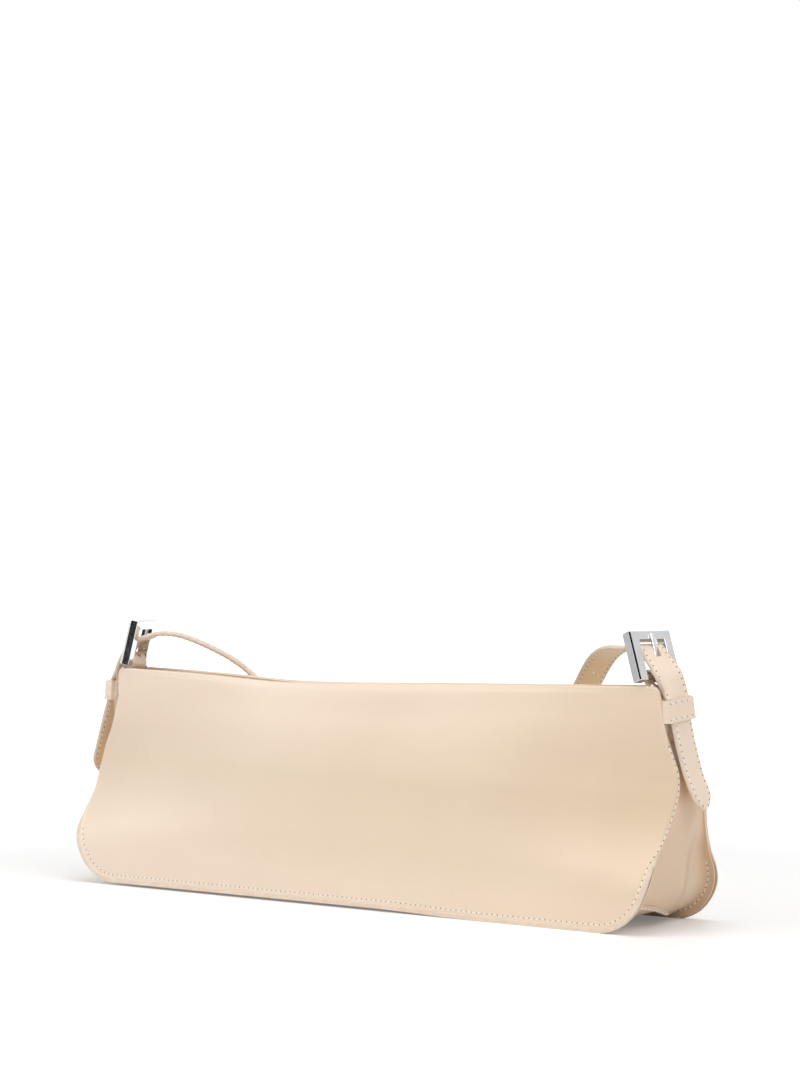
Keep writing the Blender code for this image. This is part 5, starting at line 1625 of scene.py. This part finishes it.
def pocket():
    """A flat pocket sewn on the back of the lining, with a hemmed open top."""
    outer, inner = [], []
    for step in range(34):
        height = 26.0 * MM + 58.0 * MM * step / 33
        row, under = [], []
        for part in range(47):
            x = 62.0 * MM * (part / 23 - 1)
            edge = min(1.0, (62.0 * MM - abs(x)) / (6 * MM), (height - 26.0 * MM) / (6 * MM))
            ease_off = 0.9 * MM * ease(edge, 0.0, 1.0)
            hem = 0.35 * MM if height > 78.0 * MM else 0.0
            y = lining_depth(x, height) - LINING_CLOTH - FIT - 1.2 * MM - ease_off * (0.5 + 0.5 * noise.noise(
                Vector((x * 30, height * 22, 2.0)))) - hem
            row.append(Vector((x, y, height)))
            under.append(Vector((x, y - 0.6 * MM, height)))
        outer.append(row)
        inner.append(under)
    mesh = sheet_mesh("pocket_cloth", outer, inner, rims=(0, 0, 0, 0))
    for face in mesh.polygons:
        face.material_index = 0
    made = finish_piece("pocket_cloth", mesh, (LINING,), "bag", ["slip_pocket"])
    rows = []
    for height in (28.0 * MM, 78.5 * MM, 82.5 * MM):
        rows.append([(Vector((60.0 * MM * (part / 20 - 1), inner[min(33, round((height - 26.0 * MM) / (58.0 * MM) * 33))]
                      [min(46, max(0, round((60.0 * MM * (part / 20 - 1) / (62.0 * MM) + 1) * 23)))].y - 0.1 * MM,
                      height)), Vector((0.0, -1.0, 0.0))) for part in range(41)])
    stitches("pocket_stitches", rows, "bag", pitch=3.0 * MM, radius=0.2 * MM, hole_shades=False)
    return made


def padding():
    """A thin quilted pad under the base board."""
    low, top = GUSSET_LEATHER + 0.15 * MM, BOARD_LEVEL - 0.1 * MM
    half_x, half_y = 128.0 * MM, 27.0 * MM
    upper, under = [], []
    for step in range(97):
        x = half_x * (step / 48 - 1)
        row, foot = [], []
        for part in range(25):
            y = half_y * (part / 12 - 1)
            edge = min(1.0, (half_x - abs(x)) / (5 * MM), (half_y - abs(y)) / (5 * MM))
            swell = math.sqrt(max(0.0, 1 - (1 - edge) ** 2))
            channel = 1 - 0.28 * math.exp(-(((x + half_x) % (32 * MM) - 16 * MM) / (1.6 * MM)) ** 2)
            middle = (low + top) / 2
            rise = (top - middle) * swell * channel
            pull = 1 - 0.012 * (1 - abs(y) / half_y)
            row.append(Vector((x * pull, y, middle + max(rise, 0.15 * MM))))
            foot.append(Vector((x * pull, y, middle - max(rise, 0.15 * MM))))
        upper.append(row)
        under.append(foot)
    mesh = sheet_mesh("base_pad", upper, under)
    for face in mesh.polygons:
        face.material_index = 0
    made = finish_piece("base_pad", mesh, (LINING,), "bag", ["base_padding"])
    return made


def main():
    panel("front_shell", -1)
    panel("back_shell", 1)
    gusset("gusset_left_leather", -1)
    gusset("gusset_right_leather", 1)
    base()
    stitches("seam_front", [seam_run(-1)], "bag")
    stitches("seam_back", [seam_run(1)], "bag")
    strap_half("strap_left", ENDS["left"], ["strap_end_left"])
    strap_half("strap_right", ENDS["right"], ["strap_end_right", "strap_span"])
    for key, end in ENDS.items():
        chape("chape_leather_" + key, end, "chape_" + key)
        keeper("keeper_leather_" + key, end, "keeper_" + key)
        buckle_frame("frame_" + key, end, "buckle_frame_" + key)
        pivot_bar("pin_" + key, end, "pivot_bar_" + key)
        prong("tongue_" + key, end, "prong_" + key)
    for name, side in (("front", -1), ("back", 1)):
        zip_tape("tape_" + name, side, "zip_tape_" + name)
        zip_teeth("teeth_" + name, side, "zip_chain_" + name)
    zip_parts()
    puller()
    lining()
    pocket()
    padding()


main()


# Studio -------------------------------------------------------------------------------------------------
def shown_ray(tree):
    """1 for the rays that show a background: from the camera, from polished metal and through glass."""
    path = tree.nodes.new("ShaderNodeLightPath")
    one, two = tree.nodes.new("ShaderNodeMath"), tree.nodes.new("ShaderNodeMath")
    one.operation = two.operation = "MAXIMUM"
    tree.links.new(path.outputs["Is Camera Ray"], one.inputs[0])
    tree.links.new(path.outputs["Is Glossy Ray"], one.inputs[1])
    tree.links.new(one.outputs[0], two.inputs[0])
    tree.links.new(path.outputs["Is Transmission Ray"], two.inputs[1])
    return two.outputs[0]


def floor():
    """A plain white floor. Away from the bag it melts into the white background."""
    size = 60.0
    mesh = bpy.data.meshes.new("floor")
    mesh.from_pydata([(-size, -size, 0), (size, -size, 0), (size, size, 0), (-size, size, 0)], [], [(0, 1, 2, 3)])
    made = bpy.data.objects.new("floor", mesh)
    made.location.z = -0.05 * MM
    bpy.context.collection.objects.link(made)
    surface = bpy.data.materials.new("floor")
    surface.use_nodes = True
    tree = surface.node_tree
    principled = tree.nodes["Principled BSDF"]
    principled.inputs["Base Color"].default_value = (0.9, 0.9, 0.9, 1.0)
    principled.inputs["Roughness"].default_value = 0.55
    place = tree.nodes.new("ShaderNodeTexCoord")
    length = tree.nodes.new("ShaderNodeVectorMath")
    length.operation = "LENGTH"
    tree.links.new(place.outputs["Object"], length.inputs[0])
    away = tree.nodes.new("ShaderNodeMapRange")
    away.interpolation_type = "SMOOTHSTEP"
    for key, value in (("From Min", 0.3), ("From Max", 0.9), ("To Min", FLOOR_GLOW), ("To Max", 1.0)):
        away.inputs[key].default_value = value
    tree.links.new(length.outputs["Value"], away.inputs["Value"])
    glow = tree.nodes.new("ShaderNodeMath")
    glow.operation = "MULTIPLY"
    tree.links.new(away.outputs["Result"], glow.inputs[0])
    tree.links.new(shown_ray(tree), glow.inputs[1])
    principled.inputs["Emission Color"].default_value = (1.0, 1.0, 1.0, 1.0)
    tree.links.new(glow.outputs[0], principled.inputs["Emission Strength"])
    mesh.materials.append(surface)


def world():
    """Soft light from all round, less from above. Polished metal sees the white room as the camera does."""
    made = bpy.data.worlds.new("studio")
    bpy.context.scene.world = made
    made.use_nodes = True
    tree = made.node_tree
    background = tree.nodes["Background"]
    place = tree.nodes.new("ShaderNodeTexCoord")
    parts = tree.nodes.new("ShaderNodeSeparateXYZ")
    tree.links.new(place.outputs["Generated"], parts.inputs[0])
    up = tree.nodes.new("ShaderNodeMapRange")
    up.interpolation_type = "SMOOTHSTEP"
    for key, value in (("From Min", 0.12), ("From Max", 0.75), ("To Min", WORLD_LIGHT),
                       ("To Max", WORLD_LIGHT * CEILING)):
        up.inputs[key].default_value = value
    tree.links.new(parts.outputs["Z"], up.inputs["Value"])
    strength = tree.nodes.new("ShaderNodeMapRange")
    strength.inputs["To Max"].default_value = 1.0
    tree.links.new(shown_ray(tree), strength.inputs["Value"])
    tree.links.new(up.outputs["Result"], strength.inputs["To Min"])
    tree.links.new(strength.outputs["Result"], background.inputs["Strength"])
    background.inputs["Color"].default_value = (1.0, 1.0, 1.0, 1.0)


def card(name, place, target, wide, high, tone):
    """A flag beside the camera that shows only in glossy reflections: on the polished metal and on the leather's gloss
    alike.
    """
    mesh = bpy.data.meshes.new(name)
    x, y = wide / 2, high / 2
    mesh.from_pydata([(-x, -y, 0), (x, -y, 0), (x, y, 0), (-x, y, 0)], [], [(0, 1, 2, 3)])
    made = bpy.data.objects.new(name, mesh)
    bpy.context.collection.objects.link(made)
    made.location = place
    made.rotation_euler = (Vector(place) - Vector(target)).to_track_quat("Z", "Y").to_euler()
    made.visible_camera = made.visible_diffuse = made.visible_shadow = made.visible_transmission = False
    surface = bpy.data.materials.new(name)
    surface.use_nodes = True
    principled = surface.node_tree.nodes["Principled BSDF"]
    principled.inputs["Base Color"].default_value = (0.0, 0.0, 0.0, 1.0)
    principled.inputs["Specular IOR Level"].default_value = 0.0
    principled.inputs["Emission Color"].default_value = (tone, tone, tone, 1.0)
    principled.inputs["Emission Strength"].default_value = 1.0
    mesh.materials.append(surface)


def lamp(name, place, target, size, power):
    data = bpy.data.lights.new(name, "AREA")
    data.shape = "SQUARE"
    data.size = size
    data.energy = power
    made = bpy.data.objects.new(name, data)
    bpy.context.collection.objects.link(made)
    made.location = place
    made.rotation_euler = (Vector(place) - Vector(target)).to_track_quat("Z", "Y").to_euler()
    return made


FLOOR_GLOW = 0.16
CEILING = 0.55
WORLD_LIGHT = 0.5
floor()
world()
lamp("key", (-1.25, -1.35, 1.25), (0.0, 0.0, 0.06), 1.2, 9.2)
lamp("top", (0.1, -0.15, 1.9), (0.0, 0.0, 0.06), 1.2, 14.0)
lamp("fill", (1.5, -0.3, 1.3), (0.15, 0.0, 0.08), 1.1, 9.0)
lamp("low", (-0.3, -1.6, 0.3), (0.0, 0.0, 0.02), 0.9, 3.4)
card("front_flag", (0.2, -1.35, 0.5), (0.0, 0.0, 0.14), 1.4, 1.3, 0.02)
card("side_flag", (-0.72, -1.3, 0.35), (-0.19, 0.0, 0.14), 0.62, 0.8, 0.02)
card("left_flag", (-1.05, -0.42, 0.2), (0.17, 0.0, 0.14), 0.4, 0.5, 0.62)
card("right_flag", (1.35, 0.56, 0.92), (0.19, 0.0, 0.14), 0.9, 0.9, 0.8)

bpy.context.scene.view_settings.view_transform = "Standard"

for index in range(len(frame["nodes"]["base_board"].material_slots)):
    frame["nodes"]["base_board"].material_slots[index].material = BOARD
